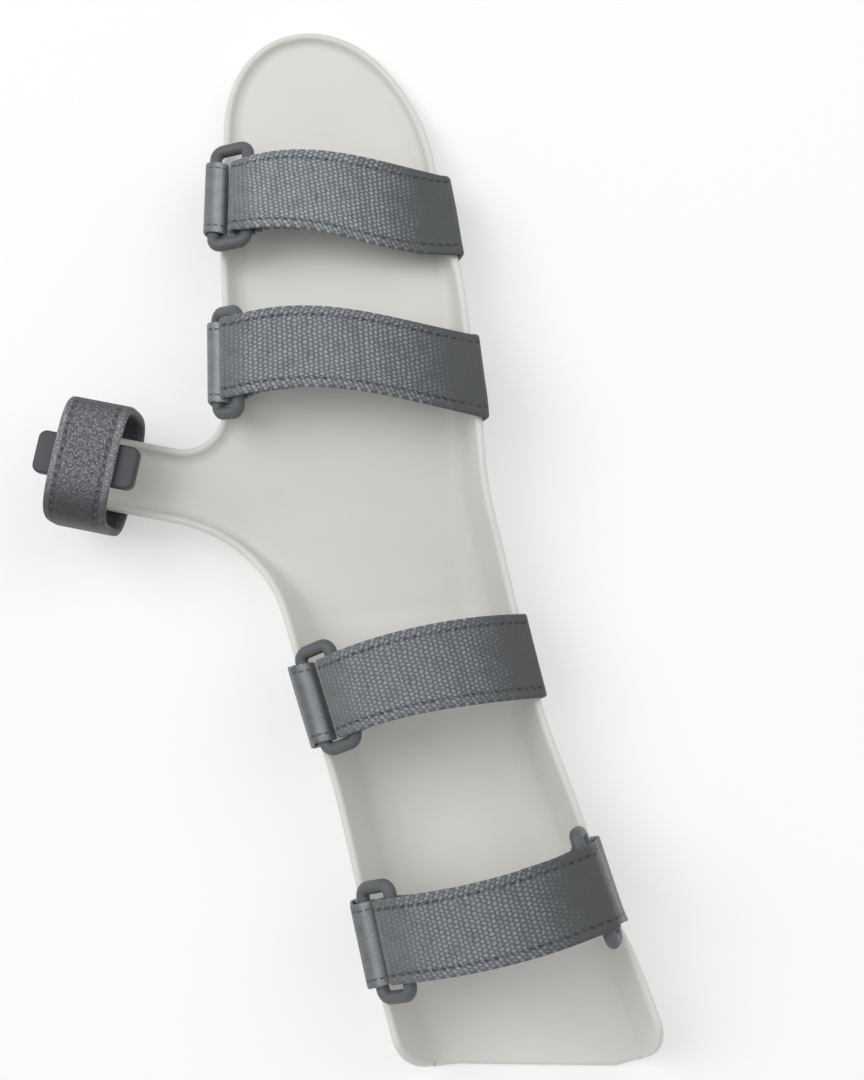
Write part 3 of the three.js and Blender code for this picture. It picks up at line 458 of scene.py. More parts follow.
def cut_edge(points, travel, y, turn, side):
    """Where cross lines through (0, y), turned down towards the little finger, cross an edge: the first
    change of sign of each line's signed distance to the edge's points."""
    sin, cos = np.sin(np.radians(turn))[:, None], np.cos(np.radians(turn))[:, None]
    distance = points[:, 0] * sin + (points[:, 1] - np.asarray(y)[:, None]) * cos
    i = np.argmax((distance[:, :-1] <= 0) & (distance[:, 1:] > 0), axis=1)
    rows = np.arange(len(i))
    before, after = distance[rows, i], distance[rows, i + 1]
    t = (-before / (after - before))[:, None]
    return Edge(lerp(points[i], points[i + 1], t), lerp(travel[i], travel[i + 1], t), side)


left_main = (np.concatenate([left_points[:THENAR + 1], left_points[WEB:]]),
             np.concatenate([left_travel[:THENAR + 1], left_travel[WEB:]]))
right_main = (right_points, right_travel)


def strap_middle(strap):
    if strap["part"] == "hand":
        return WRIST_Y + strap["along"] * HAND_LENGTH
    return strap["along"] * FOREARM_LENGTH


def line_through(point, turn):
    return point[1] + point[0] * math.tan(math.radians(turn)), turn


# Meshes

def quads(grid):
    """Faces of a grid of vertex numbers: each four neighbours, in order round the face."""
    return np.stack([grid[:-1, :-1], grid[1:, :-1], grid[1:, 1:], grid[:-1, 1:]], -1).reshape(-1, 4)


def numbered(rows, columns, start=0):
    """Grid of vertex numbers, counted along its rows."""
    return start + np.arange(rows * columns).reshape(rows, columns)


def wrapped(grid):
    """The grid with its first column again after its last."""
    return np.column_stack([grid, grid[:, 0]])


def closed_grid(rows, columns):
    """Numbered grid that closes both ways."""
    grid = numbered(rows, columns)
    return wrapped(np.concatenate([grid, grid[:1]]))


def vertex_normals(points, faces):
    """Sum of the normals of the faces at each vertex, each the cross product of its two diagonals."""
    normal = np.cross(points[faces[:, 2]] - points[faces[:, 0]], points[faces[:, 3]] - points[faces[:, 1]])
    total = np.zeros_like(points)
    for corner in range(4):
        np.add.at(total, faces[:, corner], normal)
    return unit(total)


def signed_volume(points, faces):
    """Sixth of the sum of the triple products of each face's corners about the first vertex."""
    p = points - points[0]
    a, b, c, d = (p[faces[:, k]] for k in range(4))
    return (np.einsum("ij,ij->i", a, np.cross(b, c)) + np.einsum("ij,ij->i", a, np.cross(c, d))).sum() / 6


def make_piece(name, points, faces, material, corners=None, sharp=None):
    """One object from millimetre points, quads (a repeated last corner makes a triangle) and, where the
    pattern follows the surface, a UV pair in millimetres for each face corner."""
    if signed_volume(points, faces) < 0:
        faces = faces[:, ::-1]
        if corners is not None:
            corners = corners[:, ::-1]
    used = np.ones(faces.shape, bool)
    used[:, 1:] = faces[:, 1:] != faces[:, :-1]
    sizes = used.sum(1)
    mesh = bpy.data.meshes.new(name)
    mesh.vertices.add(len(points))
    mesh.vertices.foreach_set("co", (points * 0.001).astype(np.float32).ravel())
    mesh.loops.add(int(sizes.sum()))
    mesh.loops.foreach_set("vertex_index", faces[used].astype(np.int32))
    mesh.polygons.add(len(faces))
    mesh.polygons.foreach_set("loop_start", (np.cumsum(sizes) - sizes).astype(np.int32))
    mesh.update(calc_edges=True)
    mesh.validate()
    mesh.polygons.foreach_set("use_smooth", np.ones(len(mesh.polygons), bool))
    if corners is not None:
        layer = mesh.uv_layers.new(name="cloth")
        layer.uv.foreach_set("vector", corners[used].astype(np.float32).ravel())
    if sharp:
        mesh.set_sharp_from_angle(angle=math.radians(sharp))
    mesh.materials.append(material)
    piece = bpy.data.objects.new(name, mesh)
    bpy.context.scene.collection.objects.link(piece)
    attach(piece, "root")
    return piece


# Procedural materials

class Value:
    """Output of a shader node on which arithmetic makes further nodes."""

    def __init__(self, tree, socket):
        self.tree = tree
        self.socket = socket

    def put(self, target, value):
        if isinstance(value, Value):
            self.tree.links.new(value.socket, target)
        else:
            target.default_value = value

    def node(self, kind, inputs=(), output=0, **settings):
        """Any node by type: its settings by name, and values for its inputs by socket name or number."""
        made = self.tree.nodes.new(kind)
        for key, value in settings.items():
            setattr(made, key, value)
        for key, value in dict(inputs).items():
            self.put(made.inputs[key], value)
        return Value(self.tree, made.outputs[output])

    def math(self, operation, *values):
        return self.node("ShaderNodeMath", enumerate(values), operation=operation)

    def __add__(self, other):
        return self.math("ADD", self, other)

    __radd__ = __add__

    def __sub__(self, other):
        return self.math("SUBTRACT", self, other)

    def __rsub__(self, other):
        return self.math("SUBTRACT", other, self)

    def __mul__(self, other):
        return self.math("MULTIPLY", self, other)

    __rmul__ = __mul__

    def __truediv__(self, other):
        return self.math("DIVIDE", self, other)

    def __pow__(self, other):
        return self.math("POWER", self, other)

    def __abs__(self):
        return self.math("ABSOLUTE", self)

    def floor(self):
        return self.math("FLOOR", self)

    def fract(self):
        return self.math("FRACT", self)

    def most(self, other):
        return self.math("MAXIMUM", self, other)

    def least(self, other):
        return self.math("MINIMUM", self, other)

    def ramp(self, low, high):
        """Eased 0 to 1 as the value goes from low to high, and 1 to 0 where low is the larger."""
        if low > high:
            return 1 - self.ramp(high, low)
        return self.node("ShaderNodeMapRange", {0: self, 1: low, 2: high}, interpolation_type="SMOOTHSTEP")

    def colour(self, low, high):
        """Colour between two others at this share."""
        return self.node("ShaderNodeMix", {0: self, 6: low, 7: high}, output=2, data_type="RGBA")


def tone(red, green, blue, gain=1.0):
    """Linear colour of an sRGB one given in 0 to 255: ((c + 0.055) / 1.055) to the power 2.4."""
    channels = [gain * ((c / 255 + 0.055) / 1.055) ** 2.4 for c in (red, green, blue)]
    return (*channels, 1.0)


class Finish:
    """One material: the places that its pattern can be read from, and its principled shader."""

    def __init__(self, name, constants=()):
        self.material = bpy.data.materials.new(name)
        self.material.use_nodes = True
        self.tree = self.material.node_tree
        self.shader = self.tree.nodes["Principled BSDF"]
        for key, value in dict(constants).items():
            self.shader.inputs[key].default_value = value
        self.start = Value(self.tree, None)

    def place(self):
        """Object coordinates in millimetres."""
        spot = self.start.node("ShaderNodeTexCoord", output="Object")
        return spot.node("ShaderNodeVectorMath", {0: spot, 3: 1000.0}, operation="SCALE")

    def cloth(self):
        """Millimetres along and across the piece, from its own UV map."""
        uv = self.start.node("ShaderNodeUVMap", uv_map="cloth")
        parts = self.tree.nodes.new("ShaderNodeSeparateXYZ")
        self.tree.links.new(uv.socket, parts.inputs[0])
        return uv, Value(self.tree, parts.outputs[0]), Value(self.tree, parts.outputs[1])

    def noise(self, place, scale, detail=2.0, roughness=0.5):
        return place.node("ShaderNodeTexNoise", {
            "Vector": place, "Scale": scale, "Detail": detail, "Roughness": roughness}, output="Fac")

    def cells(self, place, scale, smooth):
        return place.node("ShaderNodeTexVoronoi", {
            "Vector": place, "Scale": scale, "Smoothness": smooth}, output="Distance", feature="SMOOTH_F1")

    def done(self, colour, roughness, height, depth):
        """Link the varying values; height 0 to 1 is a bump of the given depth in metres."""
        self.start.put(self.shader.inputs["Base Color"], colour)
        self.start.put(self.shader.inputs["Roughness"], roughness)
        bump = height.node("ShaderNodeBump", {"Strength": 1.0, "Distance": depth, "Height": height})
        self.start.put(self.shader.inputs["Normal"], bump)
        return self.material


# Weave: pitch of the ribs and of the beads in them, width of the sewn border, pitch of its stitches
RIB = 1.86
BEAD = 1.6
BAND = 3.7
DASH = 3.1
# Thumb loop: distance of its stitches from the edge, and their pitch
LOOP_SEAM = 3.5
LOOP_DASH = 3.3


def webbing(name, width, span, fold_reach, dark, light):
    """Woven strap: ribs of staggered round beads across it, two rows of slanting beads along each edge, and
    a line of short dark stitches between the two. A bead is a dome, 1 minus the squares of its two
    distances from its cell's middle, whose high powers paint a small highlight on a wider body. Noise pulls
    the cells a little out of line. The strap is smoother at its fold, darker in a sunk line beside the
    stitches as painted shade, and darker towards its far end as painted shade."""
    finish = Finish(name, {"Sheen Weight": 0.1, "Sheen Roughness": 0.5, "Specular IOR Level": 0.4})
    uv, along, across = finish.cloth()
    pull = finish.noise(uv, 0.3, 2.0) - 0.5
    ragged = finish.noise(uv, 1.3, 2.0) - 0.5
    edge_gap = width / 2 - abs(across)

    def luck(first, second):
        cell = finish.start.node("ShaderNodeCombineXYZ", {0: first, 1: second, 2: 0.0})
        return cell.node("ShaderNodeTexWhiteNoise", {"Vector": cell}, output="Value", noise_dimensions="2D")

    def beads(course, place):
        rib = course.floor()
        shift = place + rib * 0.5
        a = (course.fract() - 0.5) * 2
        b = (shift.fract() - 0.5) * 2
        dome = (1 - a * a - b * b * 0.9).most(0.0)
        # The dome's high power in the colour paints a small highlight on each bead's top.
        return 0.4 * dome ** 0.5 + 0.6 * dome ** 1.6 * (0.35 + 0.65 * luck(rib, shift.floor()))

    ground = beads((along + pull * 1.8 + ragged * 0.7) / RIB, (across + pull + ragged * 0.8) / BEAD)
    border = beads((along + edge_gap * 0.45 + ragged * 0.8) / RIB, (edge_gap + ragged * 0.6) / (BAND / 2))
    worn = finish.noise(uv, 0.16, 3.0)
    near = along.ramp(1.0, fold_reach).most(along.ramp(-3.0, -12.0))
    dip = along.ramp(span - 26, span - 6) * along.ramp(span + 12, span + 2)
    plain = near * (1 - dip)
    inside = edge_gap.ramp(BAND - 0.2, BAND + 0.4)
    weave = lerp(border, ground, inside) * (0.3 + 0.7 * plain) * (0.55 + 0.45 * worn.ramp(0.25, 0.5))
    pitch = along / DASH + ragged * 0.4
    dash = pitch.fract()
    slant = abs(edge_gap - BAND + 0.35 + (dash - 0.5) * 0.6)
    stitch = dash.ramp(0.04, 0.2) * dash.ramp(0.8, 0.62) * slant.ramp(0.5, 0.2)
    stitch = stitch * (0.35 + 0.65 * luck(pitch.floor(), 3.0))
    # A sunk line beside the stitches: a bump, and a darkening of the colour there that is painted shade.
    groove_and_shade = abs(edge_gap - BAND + 0.2).ramp(1.1, 0.2)
    fuzz = finish.noise(uv, 2.6, 4.0, 0.65)
    # Painted shade: the share's last term and the mix into a dark tone below darken the colour towards the
    # strap's far end.
    far = along.ramp(span + 25, span + 5)
    share = (0.1 + weave * 0.95 + (fuzz - 0.5) * 0.6 + (worn - 0.5) * 0.35 - groove_and_shade * 0.1
             - along.ramp(0.3 * span, 0.95 * span) * far * 0.3).least(1.0).most(0.0)
    shade = along.ramp(0.55 * span, 0.95 * span) * far * 0.4
    cloth = shade.colour(share.colour(dark, light), tone(46, 48, 49))
    colour = (stitch * 0.85).colour(cloth, tone(34, 36, 38))
    height = weave * 0.8 + fuzz * 0.22 - stitch * 0.7 - groove_and_shade * 0.25
    return finish.done(colour, 0.55 + 0.3 * fuzz, height, 0.0006)


def leather(name, width, crest, dark, light):
    """Fine-grained strip, painted pale along the crest of its fold as a highlight, with a faint sewn seam
    near each edge.
    """
    finish = Finish(name, {"Specular IOR Level": 0.6})
    uv, along, across = finish.cloth()
    grain = finish.cells(uv, 1.5, 0.6)
    pores = finish.noise(uv, 2.2, 4.0, 0.65)
    patch = finish.noise(uv, 0.25, 2.0)
    edge_gap = width / 2 - abs(across)
    dash = (along / 2.6).fract()
    seam = abs(edge_gap - 2.9).ramp(0.45, 0.15) * dash.ramp(0.1, 0.2) * dash.ramp(0.85, 0.75)
    # Painted highlight: the colour is made pale along the crest of the fold.
    painted_crest_highlight = abs(along - crest - 0.9).ramp(2.8, 0.4) * (0.45 + 0.55 * pores.ramp(0.35, 0.6))
    share = (pores * 0.9 - 0.22 + (patch - 0.5) * 0.4 + painted_crest_highlight * 0.75).least(1.0).most(0.0)
    colour = (seam * 0.7).colour(share.colour(dark, light), tone(52, 54, 56))
    height = grain * 0.5 + pores * 0.7 - seam * 0.9
    return finish.done(colour, 0.32 + 0.2 * pores, height, 0.00025)


def pebbled(name, width, dark, light):
    """Coarse pebbled grain with painted highlights on its crowns, strongest along the loop's top, which is
    painted lit; smooth rolled rims; and a line of stitches sunk between the two, darkened there as painted
    shade."""
    finish = Finish(name, {"Specular IOR Level": 0.45})
    uv, along, across = finish.cloth()
    pull = finish.noise(uv, 0.5, 2.0)
    pebble = finish.cells(uv, 0.85, 0.45)
    ripple = finish.noise(uv, 1.15, 4.0, 0.62)
    fine = finish.noise(uv, 2.4, 3.0, 0.6)
    edge_gap = width / 2 - abs(across) + (pull - 0.5) * 0.8
    rolled = edge_gap.ramp(3.0, 2.0)
    # Mask for the loop's top run: it paints light there, lifting the colour and the pale thread, and also
    # strengthens the grain's bump.
    top_light_and_grain = along.ramp(10, 24) * along.ramp(56, 41)
    dash = (along / LOOP_DASH + pull * 0.3).fract()
    # A sunk seam line: a bump, and a darkening of the colour there that is painted shade.
    groove_and_shade = abs(edge_gap - LOOP_SEAM).ramp(1.0, 0.25)
    thread = abs(edge_gap - LOOP_SEAM).ramp(0.6, 0.25) * dash.ramp(0.12, 0.26) * dash.ramp(0.72, 0.55)
    # Painted highlights on the grain's crowns.
    painted_grain_glints = (ripple - 0.1 * pebble).ramp(0.36, 0.62)
    share = (0.14 * top_light_and_grain + painted_grain_glints * (0.05 + 0.58 * top_light_and_grain) + rolled * (0.08 + 0.08 * top_light_and_grain)
             + (fine - 0.5) * 0.5 + (pull - 0.5) * 0.25).least(1.0).most(0.0)
    colour = (groove_and_shade * 0.6).colour(share.colour(dark, light), tone(44, 45, 46))
    # The pale thread shows more along the loop's top: painted light.
    colour = (thread * (0.2 + 0.35 * top_light_and_grain)).colour(colour, tone(140, 142, 146))
    grain = ((1 - pebble) * 0.5 + ripple * 1.2) * (1 - 0.4 * rolled) * (0.4 + 0.6 * top_light_and_grain)
    height = grain + fine * 0.2 - groove_and_shade * 0.7 + thread * 0.6
    return finish.done(colour, 0.42 + 0.2 * fine, height, 0.0007)


def moulded(name, dark, light, grain, depth, rough):
    """Moulded plastic: faint clouding, a fine matt grain and small changes of gloss."""
    finish = Finish(name, {"Specular IOR Level": 0.4})
    place = finish.place()
    cloud = finish.noise(place, 0.035, 3.0)
    fine = finish.noise(place, grain, 3.0, 0.6)
    colour = (cloud * 0.8 + fine * 0.25 - 0.05).least(1.0).most(0.0).colour(dark, light)
    return finish.done(colour, rough + 0.12 * cloud + 0.06 * fine, fine, depth)


shell_finish = moulded("pale shell plastic", tone(211, 210, 205), tone(222, 221, 217), 1.2, 0.00003, 0.34)
ring_finish = moulded("grey ring plastic", tone(84, 87, 90), tone(99, 102, 105), 2.2, 0.00005, 0.42)
plate_finish = moulded("dark plate plastic", tone(56, 59, 64), tone(68, 71, 76), 2.0, 0.00004, 0.36)
pebble_finish = pebbled("pebbled loop leather", LOOP_WIDTH, tone(56, 57, 59), tone(170, 172, 178))


# Shell

WALL_PARTS = 14
ROOT_STEPS = 30
TONGUE_STEPS = 36
COLUMNS = 36
RIM_PARTS = 8
# The tip's stations run to this angle, and its last row spans the rest of the quarter turn
TIP_LAST = 68
TIP_ANGLES = np.radians(np.linspace(9, TIP_LAST, 28))


def shell_lines():
    """Cross lines of the floor's grid as (y, turn) rows, and the numbers of the two that bound the
    tongue's root. Between named lines y and turn go in even steps, closer together at the elbow end."""
    forearm, wrist, hand, fingers = [(strap_middle(s), s["turn"]) for s in STRAPS]
    half_fingers = STRAPS[3]["width"] * STRAP_WIDTH / 2
    # Each line, the steps from it to the next, and the power that draws them together
    keys = [
        ((WRIST_Y - FOREARM_LENGTH - ELBOW_SHIFT, ELBOW_TURN), 44, 1.7),
        (forearm, 44, 1),
        (wrist, 24, 1),
        (line_through(left_points[THENAR], THENAR_LINE_TURN), ROOT_STEPS, 1),
        (line_through(left_points[WEB], WEB_LINE_TURN), 14, 1),
        (hand, 44, 1),
        ((fingers[0] + half_fingers, fingers[1]), 0, 1),
    ]
    lines, marks = [], []
    for (low, steps, power), (high, _, _) in zip(keys, keys[1:]):
        marks.append(len(lines))
        t = (np.arange(steps) / steps) ** power
        lines += list(zip(lerp(low[0], high[0], t), lerp(low[1], high[1], t)))
    lines.append(keys[-1][0])
    return np.array(lines), marks[3], marks[4]


def make_shell():
    """Floor grid between the two edges, the tongue's grid beside it, walls up from their whole edge, an
    inner skin one wall thickness in along the normals, and a half-round rim between the two skins."""
    lines, thenar, web = shell_lines()
    left = square_end(cut_edge(*left_main, lines[:, 0], lines[:, 1], "left"), lines)
    right = cut_edge(*right_main, lines[:, 0], lines[:, 1], "right")
    ends = Edge(left_points[[THENAR, WEB]], left_travel[[THENAR, WEB]], "left")
    left.points[[thenar, web]] = ends.points
    left.out[[thenar, web]] = ends.out
    step = math.radians(0.5)
    tips = {}
    for side, way in (("left", 1), ("right", -1)):
        travel = way * (tip_point(side, TIP_ANGLES + step) - tip_point(side, TIP_ANGLES - step))
        tips[side] = Edge(tip_point(side, TIP_ANGLES), travel, side)
    left = join(left, tips["left"])
    right = join(right, tips["right"])
    rows = len(left.points)
    share = np.abs(np.arange(1, COLUMNS) - COLUMNS / 2) / (COLUMNS / 2)
    peak_angle = np.radians(90 - (90 - TIP_LAST) * share)
    on_left = np.arange(1, COLUMNS) < COLUMNS / 2
    peak_points = np.where(on_left[:, None], tip_point("left", peak_angle), tip_point("right", peak_angle))
    peak_run = np.concatenate([left.points[-1:], peak_points, right.points[-1:]])
    peak_travel = np.gradient(peak_run, axis=0)[1:-1]
    peak = Edge(peak_points, peak_travel, np.where(on_left, "left", "right"))

    shares = np.arange(1, TONGUE_STEPS + 1) / TONGUE_STEPS
    low = along_run(part_of(THENAR, THENAR + END), shares)
    high = along_run(part_of(THENAR + 2 * END, WEB), 1 - shares)
    cap = along_run(part_of(THENAR + END, THENAR + 2 * END), np.arange(1, ROOT_STEPS) / ROOT_STEPS)

    left_floor = left.floor.copy()
    root = np.linspace(0, 1, ROOT_STEPS + 1)[:, None]
    left_floor[thenar:web + 1] = lerp(left.floor[thenar], left.floor[web], root)
    t = np.linspace(0, 1, COLUMNS + 1)[None, :, None]
    floor = lerp(left_floor[:, None], right.floor[:, None], t)
    floor[-1, 1:-1] = peak.floor
    main = numbered(rows, COLUMNS + 1)
    blade = lerp(low.floor[:, None], high.floor[:, None], np.linspace(0, 1, ROOT_STEPS + 1)[None, :, None])
    blade[-1, 1:-1] = cap.floor
    tongue = numbered(*blade.shape[:2], main.size)
    plan = np.concatenate([floor.reshape(-1, 2), blade.reshape(-1, 2)])
    grid_points = np.column_stack([plan, rise_at(plan)])
    tongue_all = np.concatenate([main[thenar:web + 1, 0][None], tongue])

    places = join(
        left.pick(slice(0, thenar + 1)), low, cap, high.pick(slice(None, None, -1)),
        left.pick(slice(web, None)), peak, right.pick(slice(None, None, -1)))
    foot = np.concatenate([
        main[:thenar + 1, 0], tongue[:, 0], tongue[-1, 1:-1], tongue[::-1, -1],
        main[web:, 0], main[-1, 1:-1], main[::-1, -1]])
    # The walls fall to the floor on a quarter round at the elbow end
    near = np.minimum(np.linalg.norm(places.points - places.points[0], axis=1),
                      np.linalg.norm(places.points - places.points[-1], axis=1))
    inset = 1 - np.minimum(1, near / END_ROUND)
    trim = np.maximum(END_HEIGHT, np.sqrt(1 - inset ** 2))
    top = wall_length_to(places.height, places.height * trim)
    fall = (top - SHELL_WALL / 2) / places.length
    stops = places.length[:, None] * np.arange(1, WALL_PARTS + 1) / WALL_PARTS
    wall = places.skin(stops * fall[:, None])
    columns = np.column_stack([foot, numbered(*wall.shape[:2], main.size + tongue.size)])
    points = np.concatenate([grid_points, wall.reshape(-1, 3)])

    outer = np.concatenate([quads(main), quads(tongue_all), quads(columns.T)])
    normals = vertex_normals(points, outer)
    count = len(points)
    inner = points - normals * SHELL_WALL
    ring = np.concatenate([
        columns[:, -1], columns[-1, -2:0:-1], main[0, ::-1], columns[0, 1:-1]])
    rim_middle = (points[ring] + inner[ring]) / 2
    travel = unit(np.roll(points[ring], -1, axis=0) - np.roll(points[ring], 1, axis=0))
    beyond = unit(np.cross(travel, normals[ring]))
    angle = np.pi * np.arange(1, RIM_PARTS)[:, None, None] / RIM_PARTS
    rim = rim_middle + (points[ring] - rim_middle) * np.cos(angle) + beyond * SHELL_WALL / 2 * np.sin(angle)
    rim_index = numbered(*rim.shape[:2], 2 * count)
    rim_grid = wrapped(np.concatenate([ring[None], rim_index, (ring + count)[None]]))
    faces = np.concatenate([outer, outer[:, ::-1] + count, quads(rim_grid)])
    everything = np.concatenate([points, inner, rim.reshape(-1, 3)])
    piece = make_piece("moulded_shell", everything, faces, shell_finish)
    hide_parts("shell")


# Straps, rings and chapes

STRAP_ROWS = 24
ARCH_STEPS = 90
CHAPE_STOPS = 90


def rows_of(strap):
    """Both rim places of each of a strap's rows, and the rows' y, for rows spread over its width."""
    half = strap["width"] * STRAP_WIDTH / 2 / math.cos(math.radians(strap["turn"]))
    y = strap_middle(strap) + half * np.linspace(-1, 1, STRAP_ROWS + 1)
    turn = np.full(len(y), float(strap["turn"]))
    return {
        "left": cut_edge(*left_main, y, turn, "left"),
        "right": cut_edge(*right_main, y, turn, "right"),
        "y": y,
    }


def across_of(strap):
    angle = math.radians(strap["turn"])
    return np.array([math.cos(angle), -math.sin(angle), 0.0])


def ring_frame(strap, side):
    """A ring's own axes: long along the rim, short from the outer bar up to the inner bar."""
    rows = rows_of(strap)
    sideways, tilt, slack = strap["rings"][side]
    rims = rows[side].rim()
    long = unit(rims[-1] - rims[0])
    inward = across_of(strap) * (1 if side == "left" else -1)
    short = inward * math.cos(math.radians(tilt)) + UP * math.sin(math.radians(tilt))
    short = unit(short - long * (short @ long))
    outer = (rims[0] + rims[-1]) / 2 - inward * sideways * BAR + UP * BAR_LIFT
    return {"long": long, "short": short, "inward": inward, "outer": outer,
            "inner": outer + short * BAR_SPACING, "rows": rows, "slack": slack * BAR,
            "length": (strap["width"] + strap["ring"]) * STRAP_WIDTH}


def bar_points(strap, ring, bar):
    """Points of a bar in the upright planes of the strap's rows, drawn together a little."""
    angle = math.radians(strap["turn"])
    normal = np.array([math.sin(angle), math.cos(angle), 0.0])
    y = ring["rows"]["y"]
    start = np.column_stack([np.zeros_like(y), y, np.zeros_like(y)])
    step = (start - bar) @ normal / (ring["long"] @ normal)
    return bar + np.multiply.outer(SQUEEZE * step, ring["long"])


def oval(centre, wide_way, high_way, wide, high, angle):
    """Centre + wide times the cosine along one direction + high times the sine along the other."""
    return (centre[:, None] + wide * np.cos(angle)[None, :, None] * wide_way[:, None]
            + high * np.sin(angle)[None, :, None] * high_way[:, None])


def strap_eye(bar, ahead, above, wide=EYE_WIDE, shift=EYE_SHIFT):
    """Half an oval round the ring's bar, its middle shifted back past the bar."""
    angle = np.pi * np.linspace(0.5, 1.5, 25)
    return oval(bar - ahead * shift, ahead, above, wide, EYE_HIGH, angle)


def resample(paths, goals):
    """Points of each path at given lengths along it, by linear interpolation."""
    step = np.linalg.norm(np.diff(paths, axis=1), axis=2)
    length = np.concatenate([np.zeros((len(paths), 1)), np.cumsum(step, axis=1)], axis=1)
    return np.stack([
        np.stack([np.interp(goals, s, path[:, k]) for k in range(3)], -1) for s, path in zip(length, paths)])


def return_run(main):
    """The folded-back end under the strap: each point hangs square below the strap by a spacing that
    closes from the fold's height to one thickness."""
    goals = np.linspace(0, RETURN_LENGTH, 25)[1:]
    place = resample(main, goals)
    ahead = unit(resample(main, goals + 0.4) - resample(main, goals - 0.4))
    below = unit(ahead * ahead[..., 2:] - UP)
    closed = smooth_step(goals, RETURN_LENGTH * 0.06, RETURN_LENGTH * 0.55)
    return place + below * lerp(2 * EYE_HIGH, STRAP_THICK + GAP, closed)[None, :, None]


def tail_run(strap, edge, reach, off):
    """Down the shell's outside from the rim, held off it: along the trough wall, or round under the
    pan's floor."""
    if strap["part"] == "forearm":
        stops = edge.length[:, None] - reach * np.linspace(0, 1, 15)[None]
    else:
        stops = np.concatenate([
            lerp(edge.length[:, None], edge.arc[:, None], np.linspace(0, 1, 4)[None, :-1]),
            edge.arc[:, None] * np.linspace(1, 0, 13)[None, :-1],
            np.broadcast_to(-UNDER_TAIL * np.linspace(0, 1, 10), (len(edge.length), 10))], axis=1)
    return edge.skin(stops, off)


def rim_run(strap, edge, leave, stand_off):
    """Round the rim on a circle about the rim's middle, from the leaving angle to the wall, then down
    the outside of the shell."""
    normal, along = edge.axes()
    centre = edge.rim() - normal * SHELL_WALL / 2
    off = GAP + STRAP_THICK / 2 + stand_off[:, None]
    radius = SHELL_WALL / 2 + off
    turn = (np.pi - leave - WALL_TOP)[:, None] * (1 - np.arange(14) / 14)[None]
    round_rim = (centre[:, None] + (radius * np.cos(turn))[..., None] * normal[:, None]
                 + (radius * np.sin(turn))[..., None] * along[:, None])
    return np.concatenate([round_rim, tail_run(strap, edge, STRAP_TAIL, off)], axis=1)


def bezier(a, b, c, d, steps):
    """Cubic Bezier curve of four control points."""
    t = np.linspace(0, 1, steps + 1)[None, :, None]
    a, b, c, d = (p[:, None] for p in (a, b, c, d))
    return a * (1 - t) ** 3 + 3 * b * t * (1 - t) ** 2 + 3 * c * t ** 2 * (1 - t) + d * t ** 3


def strap_paths(strap):
    """Middle lines of a strap, one for each of its rows, and the length along them to the fold's top."""
    near = ring_frame(strap, "left")
    far = ring_frame(strap, "right") if "right" in strap["rings"] else None
    rows = near["rows"]
    across = np.broadcast_to(across_of(strap), (STRAP_ROWS + 1, 3))
    bar = bar_points(strap, near, near["inner"])
    far_top = bar_points(strap, far, far["inner"]) if far else rows["right"].rim()
    far_lift = EYE_HIGH if far else SHELL_WALL / 2 + STRAP_THICK
    handle = 0.4 * np.linalg.norm(far_top - bar, axis=1)
    base = (bar[:, 2] + EYE_HIGH + far_top[:, 2] + far_lift) / 2
    rise = strap["crown"] * WALL_HEIGHT - STRAP_THICK / 2 - base
    leave = np.arcsin(np.minimum(0.95, rise / (0.75 * handle)))
    cos, sin = np.cos(leave)[:, None], np.sin(leave)[:, None]
    ahead, above = across * cos + UP * sin, -across * sin + UP * cos
    eye = strap_eye(bar, ahead, above)
    if far:
        back = -across * cos + UP * sin
        tail = strap_eye(far_top, back, across * sin + UP * cos, FAR_EYE_WIDE, 0)
    else:
        flare = strap["flare"] * STRAP_WIDTH * np.linspace(0, 1, STRAP_ROWS + 1)
        tail = rim_run(strap, rows["right"], leave, flare)
        back = -flat(rows["right"].out) * cos + UP * sin
    bow = np.array([-across[0, 1], across[0, 0], 0]) * strap["bow"] * STRAP_WIDTH / 0.75
    first = eye[:, 0] + ahead * handle[:, None] + bow
    second = tail[:, 0] + back * handle[:, None] + bow
    arch = bezier(eye[:, 0], first, second, tail[:, 0], ARCH_STEPS)
    runs = [return_run(arch)[:, ::-1], eye[:, ::-1], arch[:, 1:-1], tail]
    if far:
        runs.append(return_run(arch[:, ::-1]))
    paths = np.concatenate(runs, axis=1)
    middle = paths[STRAP_ROWS // 2]
    to_fold = runs[0].shape[1] + runs[1].shape[1] - 1
    length = run_length(middle)
    return paths, length, length[to_fold]


EDGE_PARTS = 4


def mean_width(paths):
    return np.linalg.norm(paths[-1] - paths[0], axis=1).mean()


